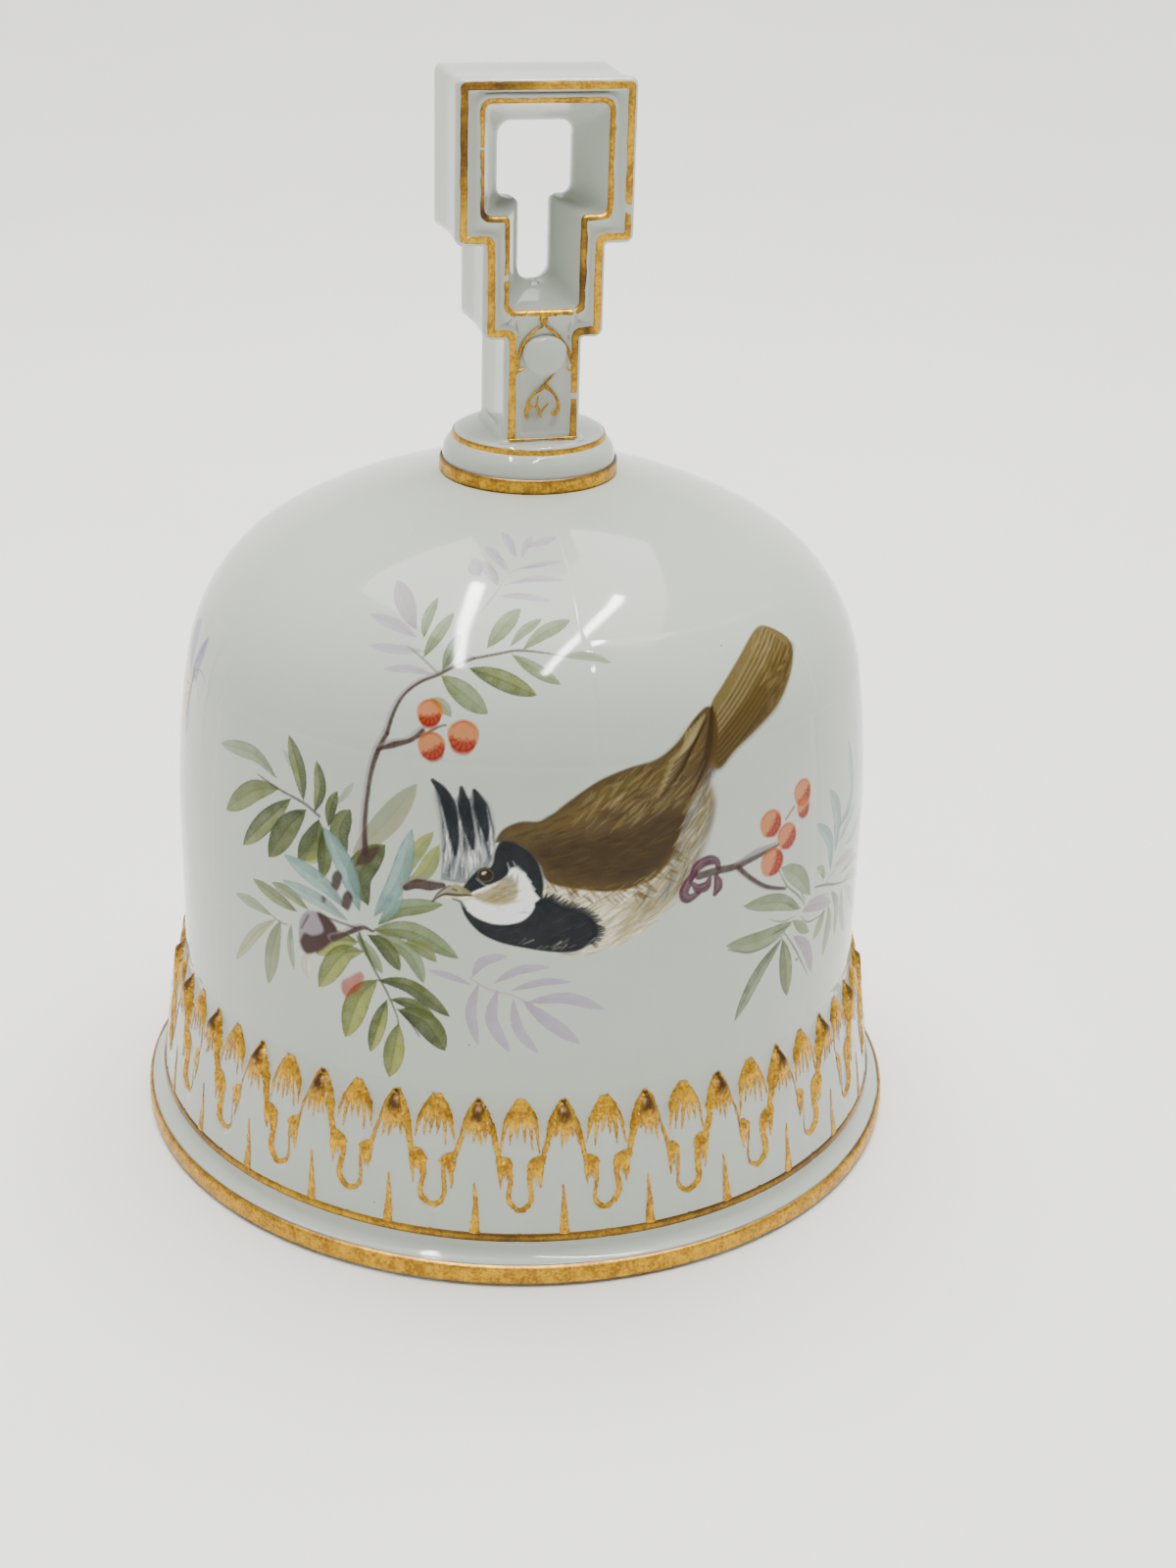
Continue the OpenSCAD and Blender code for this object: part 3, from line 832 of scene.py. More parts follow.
@dataclass
class Canvas:
    """A sheet of colour and cover, one value of each for every point of a fine grid on the bell's skin."""

    low: tuple[float, float]
    high: tuple[float, float]
    step: float = 0.13
    seed: int = 7
    x: Array = field(init=False)
    y: Array = field(init=False)
    colour: Array = field(init=False)
    cover: Array = field(init=False)
    rng: np.random.Generator = field(init=False)
    grain: Array = field(init=False)

    def __post_init__(self) -> None:
        """Lays out the grid with nothing painted on it."""
        self.x = np.arange(self.low[0], self.high[0], self.step)
        self.y = np.arange(self.low[1], self.high[1], self.step)
        self.colour = np.ones((len(self.y), len(self.x), 3))
        self.cover = np.zeros((len(self.y), len(self.x)))
        self.rng = np.random.default_rng(self.seed)
        coarse = self.rng.random((len(self.y) // 6 + 2, len(self.x) // 6 + 2))
        rows, cols = np.arange(len(self.y)) / 6.0, np.arange(len(self.x)) / 6.0
        r, c = rows.astype(int), cols.astype(int)
        fr, fc = (rows - r)[:, None], (cols - c)[None, :]
        blend = (coarse[r][:, c] * (1 - fr) * (1 - fc) + coarse[r + 1][:, c] * fr * (1 - fc) + coarse[r][:,
            c + 1] * (1 - fr) * fc + coarse[r + 1][:, c + 1] * fr * fc)
        self.grain = 0.6 * blend + 0.4 * self.rng.random(blend.shape)

    def window(self, points: Array, margin: float) -> tuple[slice, slice, Array, Array]:
        """The part of the sheet round some points: its rows, its columns and their coordinates."""
        low, high = points.min(0) - margin, points.max(0) + margin
        c0, c1 = np.searchsorted(self.x, [low[0], high[0]])
        r0, r1 = np.searchsorted(self.y, [low[1], high[1]])
        rows, cols = slice(r0, max(r1, r0 + 1)), slice(c0, max(c1, c0 + 1))
        return rows, cols, self.x[cols][None, :], self.y[rows][:, None]

    def lay(self, rows: slice, cols: slice, mask: Array, colour: Array) -> None:
        """Lays a coat over what is there: the new cover is m + c (1 - m)."""
        old_cover, old = self.cover[rows, cols], self.colour[rows, cols]
        cover = mask + old_cover * (1.0 - mask)
        part = (mask / np.maximum(cover, 1e-6))[..., None]
        self.colour[rows, cols] = old * (1.0 - part) + colour * part
        self.cover[rows, cols] = cover

    def along(self, path: Array, x: Array, y: Array) -> tuple[Array, Array, Array]:
        """How each point lies to a path: distance, share of the path's length and side (left is positive).

        For each span the point's foot is clamped to the span, and the nearest span wins.
        """
        best = np.full(np.broadcast(x, y).shape, 1e9)
        where, side = np.zeros_like(best), np.zeros_like(best)
        span = np.diff(path, axis=0)
        size = np.hypot(span[:, 0], span[:, 1])
        start, total = np.concatenate([[0.0], np.cumsum(size)]), max(size.sum(), 1e-9)
        for k, (dx, dy) in enumerate(span):
            px, py = x - path[k, 0], y - path[k, 1]
            t = np.clip((px * dx + py * dy) / max(size[k] ** 2, 1e-12), 0.0, 1.0)
            gap = np.hypot(px - t * dx, py - t * dy)
            near = gap < best
            best = np.where(near, gap, best)
            where = np.where(near, (start[k] + t * size[k]) / total, where)
            side = np.where(near, np.sign(dx * py - dy * px), side)
        return best, where, side

    def stroke(self, points: Points, widths: list[float], pigment: Pigment, opacity: float = 0.9,
               dry: float = 0.25, share: int = 5) -> None:
        """One stroke of a round brush, whose width changes along it and whose edge is a little dry.

        Args:
            points: The path.
            widths: Full width at evenly spaced places.
            pigment: Its colour.
            opacity: How strongly it covers.
            dry: How much the glaze shows through the grain.
            share: Steps between two points.
        """
        path = smoothed(points, share)
        rows, cols, x, y = self.window(path, max(widths) + 2.0 * self.step)
        gap, where, _ = self.along(path, x, y)
        half = 0.5 * np.interp(where, np.linspace(0.0, 1.0, len(widths)), widths)
        soft = 0.75 * self.step
        mask = np.clip((half - gap) / soft * 0.5 + 0.5, 0.0, 1.0) * opacity
        mask *= 1.0 - dry * self.grain[rows, cols]
        self.lay(rows, cols, mask, rgb(pigment))

    def fill(self, points: Points, pigment: Pigment, opacity: float = 0.95, soft: float = 0.2,
             smooth: bool = True) -> None:
        """Fills a closed outline. A point is inside where its winding is odd, and the edge is softened."""
        outline = smoothed([*points, points[0]], 5) if smooth else np.array([*points, points[0]], float)
        rows, cols, x, y = self.window(outline, soft + 2.0 * self.step)
        inside = np.zeros(np.broadcast(x, y).shape, bool)
        for (ax, ay), (bx, by) in zip(outline, outline[1:]):
            if ay != by:
                cut = ax + (y - ay) / (by - ay) * (bx - ax)
                inside ^= ((ay > y) != (by > y)) & (x < cut)
        gap, _, _ = self.along(outline, x, y)
        signed = np.where(inside, gap, -gap)
        mask = np.clip(signed / max(soft, self.step) + 0.5, 0.0, 1.0) * opacity
        mask *= 1.0 - 0.08 * self.grain[rows, cols]
        self.lay(rows, cols, mask, rgb(pigment))

    def leaf(self, points: Points, width: float, light: Pigment, dark: Pigment, opacity: float = 0.85,
             shade: float = 0.75, vein: float = 0.6, fade: float = 0.0) -> None:
        """A leaf in two washes with a fine dark vein and edge.

        Its half-width at a share t of its length is about width/2 times (4 t (1 - t))^0.8.
        One side of the rib is the darker wash, and colour pools along the edge.

        Args:
            points: The rib, from stalk to tip.
            width: Greatest width.
            light: The lit wash.
            dark: The shaded wash.
            opacity: How strongly it covers.
            shade: How much of the dark wash lies on the shaded side.
            vein: Strength of the rib's line.
            fade: How much the far end fades into the glaze.
        """
        path = smoothed(points, 6)
        rows, cols, x, y = self.window(path, width)
        gap, t, side = self.along(path, x, y)
        half = 0.47 * width * (4.0 * t * (1.0 - t) + 0.01) ** 0.8 * (0.9 + 0.2 * t)
        inside = np.clip((half - gap) / (0.9 * self.step) + 0.5, 0.0, 1.0)
        depth = np.clip(gap / np.maximum(half, 1e-3), 0.0, 1.0)
        grain = self.grain[rows, cols]
        dusk = shade * (0.5 - 0.5 * side) * (0.6 + 0.4 * depth) + 0.4 * smooth_step(1.0 - t, 0.5, 1.0)
        pool = smooth_step(depth, 0.7, 1.0) * 0.5 * (0.4 + grain)
        dusk = np.clip(dusk + pool + 0.4 * (grain - 0.5), 0.0, 1.0)[..., None]
        colour = rgb(light) * (1.0 - dusk) + rgb(dark) * dusk
        cover = inside * opacity ** 0.45 * (0.92 + 0.24 * (grain - 0.5)) * (1.0 - fade * t)
        self.lay(rows, cols, np.clip(cover, 0.0, 1.0), colour)
        if vein > 0.0:
            self.stroke(points, [0.16, 0.18, 0.12, 0.05], dark, vein, 0.3)

    def berry(self, x: float, y: float, size: float, turn: float = 0.0) -> None:
        """A rowan berry: an orange round, a red crescent on its lower side, fine ribs and a dark calyx."""
        ring = np.linspace(0.0, 2.0 * math.pi, 15)[:-1]
        outline = [(x + size * (1.0 + 0.05 * math.sin(3.0 * a + turn)) * math.cos(a),
            y + 0.94 * size * math.sin(a)) for a in ring]
        self.fill(outline, Pigment.BERRY, 0.82, 0.25)
        arc = np.linspace(-2.7, -0.1, 7) + turn
        lower = [(x + 0.72 * size * math.cos(a), y + 0.72 * size * math.sin(a)) for a in arc]
        self.stroke(lower, [0.2 * size, 0.75 * size, 0.8 * size, 0.3 * size], Pigment.BERRY_RED, 0.7)
        for k in range(5):
            a = turn - 2.5 + 0.5 * k
            rib = [(x + r * size * math.cos(a + b), y + r * size * math.sin(a + b)) for r,
                b in ((0.92, 0.0), (0.6, 0.12), (0.25, 0.3))]
            self.stroke(rib, [0.1, 0.24, 0.1], Pigment.BERRY_DARK, 0.55)
        self.stroke([(x + 0.9 * size * math.cos(a), y + 0.86 * size * math.sin(a)) for a in arc],
            [0.08, 0.2, 0.22, 0.1], Pigment.BERRY_DARK, 0.6)
        crown = [(x + 0.85 * size * math.cos(a), y + 0.82 * size * math.sin(a)) for a in (0.6, 1.3, 2.0, 2.6)]
        self.stroke(crown, [0.06, 0.14, 0.14, 0.06], Pigment.BERRY_RED, 0.6)

    def plumage(self, count: int, area: Callable[[Array, Array], Array],
        box: tuple[float, float, float, float], flow: Callable[[float, float], float], pigment: Pigment,
        length: tuple[float, float], width: tuple[float, float], opacity: float, bend: float = 0.2,
        strict: bool = False) -> None:
        """Lays fine feather strokes over an area.

        Args:
            count: How many places are tried.
            area: Whether each place is inside, from x and y.
            box: Lowest and highest x, then lowest and highest y.
            flow: Direction of the feathers at a place, in radians.
            pigment: Their colour.
            length: Least and greatest length.
            width: Least and greatest width.
            opacity: How strongly they cover.
            bend: How much each curves.
            strict: Whether a feather whose tip would leave the area is left out.
        """
        x = self.rng.uniform(box[0], box[1], count)
        y = self.rng.uniform(box[2], box[3], count)
        keep = area(x, y)
        for px, py in zip(x[keep], y[keep]):
            a = flow(px, py) + self.rng.normal(0.0, 0.1)
            size, curl = self.rng.uniform(*length), self.rng.normal(0.0, bend)
            wide = self.rng.uniform(*width)
            mid = (px + 0.5 * size * math.cos(a), py + 0.5 * size * math.sin(a))
            end = (mid[0] + 0.5 * size * math.cos(a + curl), mid[1] + 0.5 * size * math.sin(a + curl))
            if strict and not area(np.array([end[0]]), np.array([end[1]]))[0]:
                continue
            self.stroke([(px, py), mid, end], [0.4 * wide, wide, 0.2 * wide], pigment,
                opacity * self.rng.uniform(0.6, 1.0), 0.2, 2)


def inside_outline(points: Points) -> Callable[[Array, Array], Array]:
    """A test for points inside a closed outline, by the parity of crossings to their right."""
    outline = smoothed([*points, points[0]], 4)

    def test(x: Array, y: Array) -> Array:
        """Whether each point is inside."""
        result = np.zeros(np.shape(x), bool)
        for (ax, ay), (bx, by) in zip(outline, outline[1:]):
            if ay != by:
                result ^= ((ay > y) != (by > y)) & (x < ax + (y - ay) / (by - ay) * (bx - ax))
        return result

    return test


@dataclass
class Foliage:
    """Rowan sprays, twigs and berries on both sides of the bird."""

    canvas: Canvas

    def leaves(self, rows: list[tuple[float | Pigment, ...]], shade: float = 0.75, vein: float = 0.6,
               fade: float = 0.0) -> None:
        """Paints leaves, each a width, a cover, two washes and then x and y of its rib's points in turn."""
        for width, cover, light, dark, *rib in rows:
            self.canvas.leaf(list(zip(rib[::2], rib[1::2])), width, light, dark, cover, shade, vein, fade)

    def twig(self, points: Points, widths: list[float], cover: float = 0.9) -> None:
        """A twig: a grey lit side under a dark brown line."""
        shifted = [(x - 0.28, y + 0.1) for x, y in points]
        self.canvas.stroke(shifted, [1.3 * w for w in widths], Pigment.TWIG_GREY, 0.6 * cover, 0.2, 8)
        self.canvas.stroke(points, widths, Pigment.TWIG, cover, 0.3, 8)

    def left(self) -> None:
        """The big spray on the left, from its far pale leaves to the near dark ones."""
        p, c = Pigment, self.canvas
        self.leaves([
            (1.9, 0.5, p.SAGE, p.OLIVE, -38, 52.5, -42, 54, -48.5, 53),
            (0.9, 0.25, p.SAGE, p.SAGE, -29.5, 52, -27.8, 54.5),
            (1.0, 0.2, p.SAGE, p.SAGE, -34.5, 53.5, -37.5, 55.8),
            (1.5, 0.55, p.SAGE, p.MOSS, -38.5, 36.6, -41, 37.0, -44.5, 36.9),
            (1.5, 0.4, p.LIME, p.MOSS, -37.8, 36.3, -41, 33.5, -45, 28.6),
            (2.3, 0.6, p.MOSS, p.OLIVE, -37, 36.4, -38.2, 33, -39.2, 28),
            (1.1, 0.45, p.SAGE, p.OLIVE, -35.4, 36.6, -35.6, 34, -35.2, 31.2),
            (1.6, 0.3, p.CREAM, p.BUFF, -33.2, 34, -33.4, 32, -33.0, 30.7)], 0.4, 0.35, 0.25)
        self.leaves([
            (1.8, 0.6, p.MOSS, p.OLIVE, -34.5, 38.4, -37.5, 39.1, -41.3, 39.9),
            (1.5, 0.55, p.MOSS, p.OLIVE, -33, 39.1, -35.5, 40.2, -38.2, 40.6),
            (2.9, 0.5, p.SAGE, p.BUFF, -27.5, 47, -24, 50.8, -20.6, 55.6),
            (2.6, 0.8, p.OLIVE, p.DARK_OLIVE, -28.2, 46.8, -29.2, 49, -28, 51.6),
            (1.5, 0.85, p.OLIVE, p.DARK_OLIVE, -30.6, 49.2, -30.4, 51.3, -29.7, 53.2),
            (2.1, 0.75, p.MOSS, p.DARK_OLIVE, -34.0, 51.2, -34.9, 54.2, -36.8, 57.5),
            (1.7, 0.8, p.MOSS, p.DARK_OLIVE, -32.4, 50.4, -31.9, 53, -32.6, 55.8),
            (2.7, 0.85, p.MOSS, p.OLIVE, -37.7, 51.4, -41.5, 50, -46.4, 46.1),
            (2.5, 0.85, p.MOSS, p.DARK_OLIVE, -35.8, 50.8, -38.8, 47.8, -43, 43.3),
            (3.1, 0.9, p.OLIVE, p.DARK_OLIVE, -33.6, 50.2, -36, 47.6, -38.7, 43.4),
            (3.0, 0.9, p.OLIVE, p.DARK_OLIVE, -31.8, 49.6, -32.4, 47, -34.4, 44.6),
            (1.4, 0.6, p.LIME, p.MOSS, -31.2, 45.4, -32.0, 45.5, -33.3, 44.6),
            (2.0, 0.9, p.OLIVE, p.DARK_OLIVE, -31.2, 48.8, -30.9, 46, -31.2, 43.2)])
        c.stroke([(-41, 52.0), (-37.5, 51.4), (-34, 50.9), (-31.8, 50)], [0.15, 0.3, 0.3, 0.35], p.TWIG, 0.75)
        self.leaves([
            (3.3, 0.88, p.OLIVE, p.DARK_OLIVE, -25.6, 41.5, -26.6, 45, -23.8, 48.6),
            (1.7, 0.75, p.LIME, p.MOSS, -21.6, 45.2, -20.6, 48, -18.6, 50.8),
            (1.9, 0.8, p.LIME, p.MOSS, -21.2, 45.0, -19.4, 46.4, -18.0, 49.4),
            (2.0, 0.85, p.SAGE, p.OLIVE, -24.4, 39.6, -22, 41.8, -17.4, 43),
            (2.5, 0.85, p.SAGE, p.OLIVE, -25.0, 38.8, -20.5, 39.4, -15.7, 37.0),
            (1.6, 0.75, p.MOSS, p.OLIVE, -21.6, 38.0, -19.6, 37.6, -18.0, 36.3),
            (2.0, 0.65, p.SAGE, p.OLIVE, -24.6, 38.4, -21, 36.9, -19.4, 33.6),
            (2.0, 0.92, p.OLIVE, p.DARK_OLIVE, -25.6, 38.1, -23.6, 37.0, -22.0, 34.6),
            (1.5, 0.7, p.SAGE, p.OLIVE, -27.0, 37.8, -25.2, 35.8, -24, 33.9),
            (2.6, 0.85, p.LIME, p.OLIVE, -26.8, 37.0, -29.5, 36.4, -32, 34.1),
            (2.7, 0.85, p.LIME, p.OLIVE, -26.2, 36.0, -28.8, 34.9, -31.8, 30.2),
            (3.0, 0.88, p.LIME, p.OLIVE, -24.6, 33.0, -26.7, 30.4, -28.5, 25.1),
            (1.9, 0.88, p.LIME, p.DARK_OLIVE, -23.5, 30.8, -24.4, 28, -25.5, 24.1),
            (2.5, 0.9, p.LIME, p.OLIVE, -22.2, 28.2, -22.7, 25, -23.3, 21.5),
            (2.0, 0.92, p.OLIVE, p.DARK_OLIVE, -24.4, 33.0, -20.8, 32.9, -16.6, 30),
            (1.6, 0.92, p.OLIVE, p.DARK_OLIVE, -23, 31.0, -20.6, 30.8, -18, 29.4),
            (3.0, 0.92, p.OLIVE, p.DARK_OLIVE, -22.2, 29.9, -19.2, 28.9, -17.1, 25.8)])
        self.leaves([
            (2.2, 0.7, p.DUCK_EGG, p.SLATE_GREEN, -28.4, 40.6, -31.0, 42.6, -36.4, 44.4),
            (1.8, 0.5, p.DUCK_EGG, p.SLATE_GREEN, -28.0, 39.2, -31.5, 40.6, -36.6, 41.4),
            (2.5, 0.85, p.DUCK_EGG, p.SLATE_GREEN, -26.6, 40.6, -28.2, 45, -31.2, 49.0),
            (2.3, 0.8, p.DUCK_EGG, p.SLATE_GREEN, -24.9, 40.4, -22.3, 45, -20.9, 50.8),
            (1.4, 0.6, p.DUCK_EGG, p.SLATE_GREEN, -24.3, 39.8, -22.6, 42, -22.0, 44.5)], 0.35, 0.3)
        for x, y in ((-29.4, 43.4), (-28.1, 41.4)):
            c.fill([(x - 0.6, y - 0.7), (x + 0.2, y - 1.0), (x + 0.7, y + 0.6), (x + 0.1, y + 1.2),
                (x - 0.5, y + 0.5)], p.TWIG, 0.85, 0.3)
        c.fill([(-31.2, 40.5), (-30.8, 40.5), (-30.7, 41.1), (-31.2, 41.2)], p.TWIG, 0.6, 0.3)
        c.fill([(-34.4, 35.6), (-34.2, 34.2), (-33.3, 33.8), (-31.8, 34.6), (-30.2, 36.1), (-29.4, 37.8),
            (-30.2, 38.7), (-31.8, 39.2), (-33.3, 38.8), (-34.2, 37.4)], p.TWIG_GREY, 0.9, 0.3)
        c.fill([(-34.2, 34.9), (-33.4, 33.8), (-31.8, 34.5), (-30.2, 36.0), (-29.2, 37.6), (-30.4, 38.9),
            (-31.8, 39.1), (-31.0, 37.2), (-32.4, 36.2), (-33.6, 36.1)], p.TWIG, 0.9, 0.35)
        c.stroke([(-34, 36.6), (-33, 38.4)], [0.2, 0.3], p.TWIG, 0.5)
        self.twig([(-29.8, 36.6), (-28.2, 37.6), (-26.2, 38.8), (-25, 38.6)], [0.7, 0.5, 0.6, 0.3])
        c.stroke([(-31.5, 39), (-29.5, 38.8), (-27, 38.6)], [0.15, 0.3, 0.3], p.TWIG, 0.7)
        c.stroke([(-26.6, 38), (-25.8, 36), (-24.8, 34), (-23.5, 31.8), (-22.4, 29.2), (-22.2, 28)],
            [0.4, 0.35, 0.3, 0.28, 0.22, 0.15], p.DARK_OLIVE, 0.85)
        c.stroke([(-22.3, 30.0), (-21, 28.8), (-19.9, 27.1)], [0.12, 0.25, 0.15], p.TWIG, 0.8)
        c.stroke([(-39.3, 37.0), (-37, 36.3), (-36, 36.4)], [0.15, 0.22, 0.2], p.OLIVE, 0.6)
        c.fill([(-28.9, 30.6), (-28.4, 30.1), (-27.6, 30.6), (-26.6, 31.6), (-26.1, 33.0), (-26.6, 33.5),
            (-27.8, 32.6), (-28.8, 31.8)], p.BERRY_RED, 0.65, 0.35)
        c.stroke([(-28.4, 31.2), (-27.4, 32), (-26.6, 33)], [0.2, 0.4, 0.2], p.BUFF, 0.6)
        self.twig([(-26.0, 47.2), (-26.2, 50), (-26.1, 53), (-25.8, 56), (-25.2, 58.4), (-24.4, 60.3)],
            [0.7, 0.55, 0.5, 0.5, 0.6, 0.5])
        c.fill([(-27.2, 45.6), (-25.4, 46.4), (-24.4, 48.3), (-25.6, 47.9), (-26.4, 47.6), (-26.9, 46.6)],
            p.TWIG, 0.75, 0.35)
        self.twig([(-21.4, 44.3), (-20.2, 44.9), (-18.8, 44.9), (-17.4, 45.1)], [0.7, 1.1, 1.1, 0.6])

    def top(self) -> None:
        """The sprays over the left berries, the nearer green ones and the far mauve ones."""
        p, c = Pigment, self.canvas
        faint = [(2.6, 0.4, -17.3, 79.5, -19, 81, -20, 81.9), (1.8, 0.3, -14, 78.2, -16, 80.4, -18.6, 81.4),
            (1.6, 0.3, -13.2, 80.6, -15.5, 82.6, -18.4, 84),
            (1.8, 0.35, -11.4, 82.6, -13.3, 85, -15.6, 86.6),
            (1.6, 0.25, -10.4, 82.6, -9.6, 84.6, -8, 86.2), (1.4, 0.22, -9.6, 84.4, -6, 85.2, -2.4, 86),
            (0.9, 0.25, -10.6, 80.9, -6.5, 81.6, -2.6, 82.0), (1.1, 0.35, -12, 78.6, -8, 79.4, -3, 79.2),
            (1.1, 0.3, -13, 76.7, -9.5, 76.9, -5.4, 76.2)]
        self.leaves([(width, cover, p.LILAC, p.MAUVE, *rib) for width, cover, *rib in faint], 0.5, 0.25, 0.2)
        for line in ([(-16.2, 81), (-14.6, 80), (-13.9, 78.5)],
            [(-15.5, 82.7), (-13.8, 82.1), (-12.7, 80.4)], [(-12.6, 80.1), (-10.5, 80.9), (-6, 81.4)],
            [(-13, 78.3), (-10.5, 79.1), (-5, 79.4)], [(-13.6, 76.8), (-11, 77.2), (-8.5, 77)],
            [(-16, 74.2), (-14, 77.4), (-13.2, 79)]):
            c.stroke(line, [0.12, 0.24, 0.16], p.MAUVE, 0.7)
        self.leaves([
            (2.6, 0.62, p.MAUVE, p.TWIG_GREY, -24, 71.5, -27, 74.3, -30.7, 77.1),
            (1.5, 0.35, p.LILAC, p.MAUVE, -23.6, 70.6, -27, 71.6, -31.4, 72.2),
            (1.2, 0.25, p.LILAC, p.MAUVE, -22, 69.2, -26, 68.9, -29.4, 68.8),
            (1.0, 0.35, p.LILAC, p.MAUVE, -20.4, 66.9, -23.4, 67.1, -26.5, 66.6)], 0.5, 0.4, 0.2)
        self.leaves([
            (1.7, 0.75, p.SAGE, p.OLIVE, -22.6, 70.7, -23.0, 73, -22.8, 75.8),
            (1.9, 0.75, p.SAGE, p.OLIVE, -21.9, 68.6, -20.9, 71.2, -19.6, 74.1),
            (1.7, 0.75, p.SAGE, p.DARK_OLIVE, -19.2, 67.4, -18.6, 69.6, -17.9, 71.7),
            (2.4, 0.75, p.SAGE, p.OLIVE, -14.2, 70.3, -12.4, 72.8, -10.2, 75.2),
            (1.3, 0.65, p.SAGE, p.OLIVE, -11.3, 70.6, -9.6, 72.4, -7.2, 73.9),
            (1.8, 0.75, p.SAGE, p.OLIVE, -9.6, 70.3, -7, 72.2, -3.2, 73.7),
            (1.6, 0.65, p.SAGE, p.OLIVE, -11, 69.6, -8.4, 68.2, -5.2, 66.5),
            (1.1, 0.35, p.SAGE, p.SAGE, -5, 69.5, -1.5, 69.4, 1.2, 68.5),
            (2.3, 0.85, p.MOSS, p.DARK_OLIVE, -16, 67.9, -12.4, 67, -8, 65.4),
            (2.5, 0.75, p.SAGE, p.OLIVE, -19.2, 66.8, -16.6, 65.4, -13.4, 63.4),
            (1.3, 0.5, p.SAGE, p.OLIVE, -20, 64.4, -18.6, 63.9, -17.4, 62.8)], 0.45, 0.45)
        self.twig([(-24.4, 60.3), (-24, 62.5), (-23.2, 64.4), (-21.6, 65.9), (-19.6, 66.9), (-17.6, 68.1),
            (-15.6, 69)], [0.5, 0.45, 0.35, 0.35, 0.35, 0.35, 0.3])
        c.stroke([(-15.6, 69), (-13, 69.6), (-10.5, 70.1), (-8, 70), (-5, 69.6)], [0.3, 0.3, 0.3, 0.2, 0.1],
            p.TWIG, 0.8)
        c.stroke([(-24.3, 69.5), (-21.8, 68.3), (-19.5, 66.9)], [0.1, 0.25, 0.25], p.OLIVE, 0.65)
        self.twig([(-25.3, 58.5), (-23.4, 59.3), (-21.6, 60), (-20.4, 61.1)], [0.3, 0.7, 0.5, 0.5])
        c.stroke([(-20.8, 60.4), (-18.6, 61.7), (-17.9, 61.9)], [0.3, 0.28, 0.2], p.TWIG, 0.8)
        for x, y, size, turn in ((-19.9, 63.0, 1.5, 0.0), (-15.9, 61.0, 1.75, -0.3),
            (-19.3, 59.7, 1.55, 0.3)):
            c.berry(x, y, size, turn)

    def right(self) -> None:
        """The berries on the right and the paler sprays that turn away round the side."""
        p, c = Pigment, self.canvas
        self.leaves([
            (1.8, 0.6, p.DUCK_EGG, p.SLATE_GREEN, 31.6, 38.4, 31, 42.4, 27.8, 45.6),
            (2.3, 0.6, p.DUCK_EGG, p.SLATE_GREEN, 32.7, 40.4, 33, 44.8, 31, 48.4),
            (1.9, 0.6, p.DUCK_EGG, p.SLATE_GREEN, 33.6, 42.9, 37.6, 45.4, 37.2, 52.2),
            (1.6, 0.4, p.DUCK_EGG, p.SLATE_GREEN, 33.8, 41.2, 36.5, 42.6, 39.6, 43.8),
            (1.5, 0.4, p.DUCK_EGG, p.SLATE_GREEN, 36, 39.8, 39.5, 40.2, 43.4, 41.4),
            (1.5, 0.35, p.MAUVE, p.MAUVE, 32.5, 38.6, 36, 38.3, 40, 37.4),
            (1.2, 0.35, p.SAGE, p.OLIVE, 35, 36.6, 39, 36.6, 44, 35),
            (1.6, 0.35, p.SAGE, p.OLIVE, 36, 35.2, 40, 34.4, 45, 32),
            (2.2, 0.35, p.SAGE, p.SLATE_GREEN, 37.5, 33.8, 41, 31, 46, 26.5),
            (1.7, 0.45, p.SAGE, p.SLATE_GREEN, 35.6, 34.6, 36.4, 31, 38.3, 27.8),
            (1.6, 0.55, p.SAGE, p.OLIVE, 32.3, 35.6, 34.3, 33, 34.4, 29),
            (1.9, 0.5, p.MOSS, p.OLIVE, 31.8, 34, 32.2, 31.6, 31.2, 27.9),
            (1.7, 0.5, p.MOSS, p.OLIVE, 30.8, 34, 29.8, 32.6, 28.6, 31.2),
            (1.2, 0.4, p.SAGE, p.OLIVE, 30.2, 38.2, 29.4, 39.4, 28.2, 40.2)], 0.5, 0.3, 0.2)
        self.leaves([
            (2.6, 0.5, p.SAGE, p.OLIVE, 27, 37.4, 24.6, 40.4, 21.4, 42.6),
            (2.2, 0.6, p.SAGE, p.OLIVE, 25.2, 36.4, 21, 38.7, 15.8, 39.8),
            (2.4, 0.65, p.SAGE, p.OLIVE, 23.8, 35.3, 18.6, 34.9, 13.7, 35.7),
            (1.9, 0.7, p.SAGE, p.DARK_OLIVE, 22.2, 33.9, 18.6, 30.8, 15.5, 26.0),
            (2.4, 0.75, p.MOSS, p.DARK_OLIVE, 22.3, 33.7, 23.2, 30, 23.8, 26.1),
            (1.8, 0.6, p.MAUVE, p.TWIG_GREY, 24.2, 33.4, 27, 30.8, 28.7, 27),
            (1.9, 0.6, p.MAUVE, p.TWIG_GREY, 25.6, 35.8, 28.6, 35.6, 32.4, 34.2),
            (1.4, 0.5, p.MOSS, p.OLIVE, 23.9, 35.4, 25.8, 33.8, 27.4, 32.6)], 0.5, 0.35)
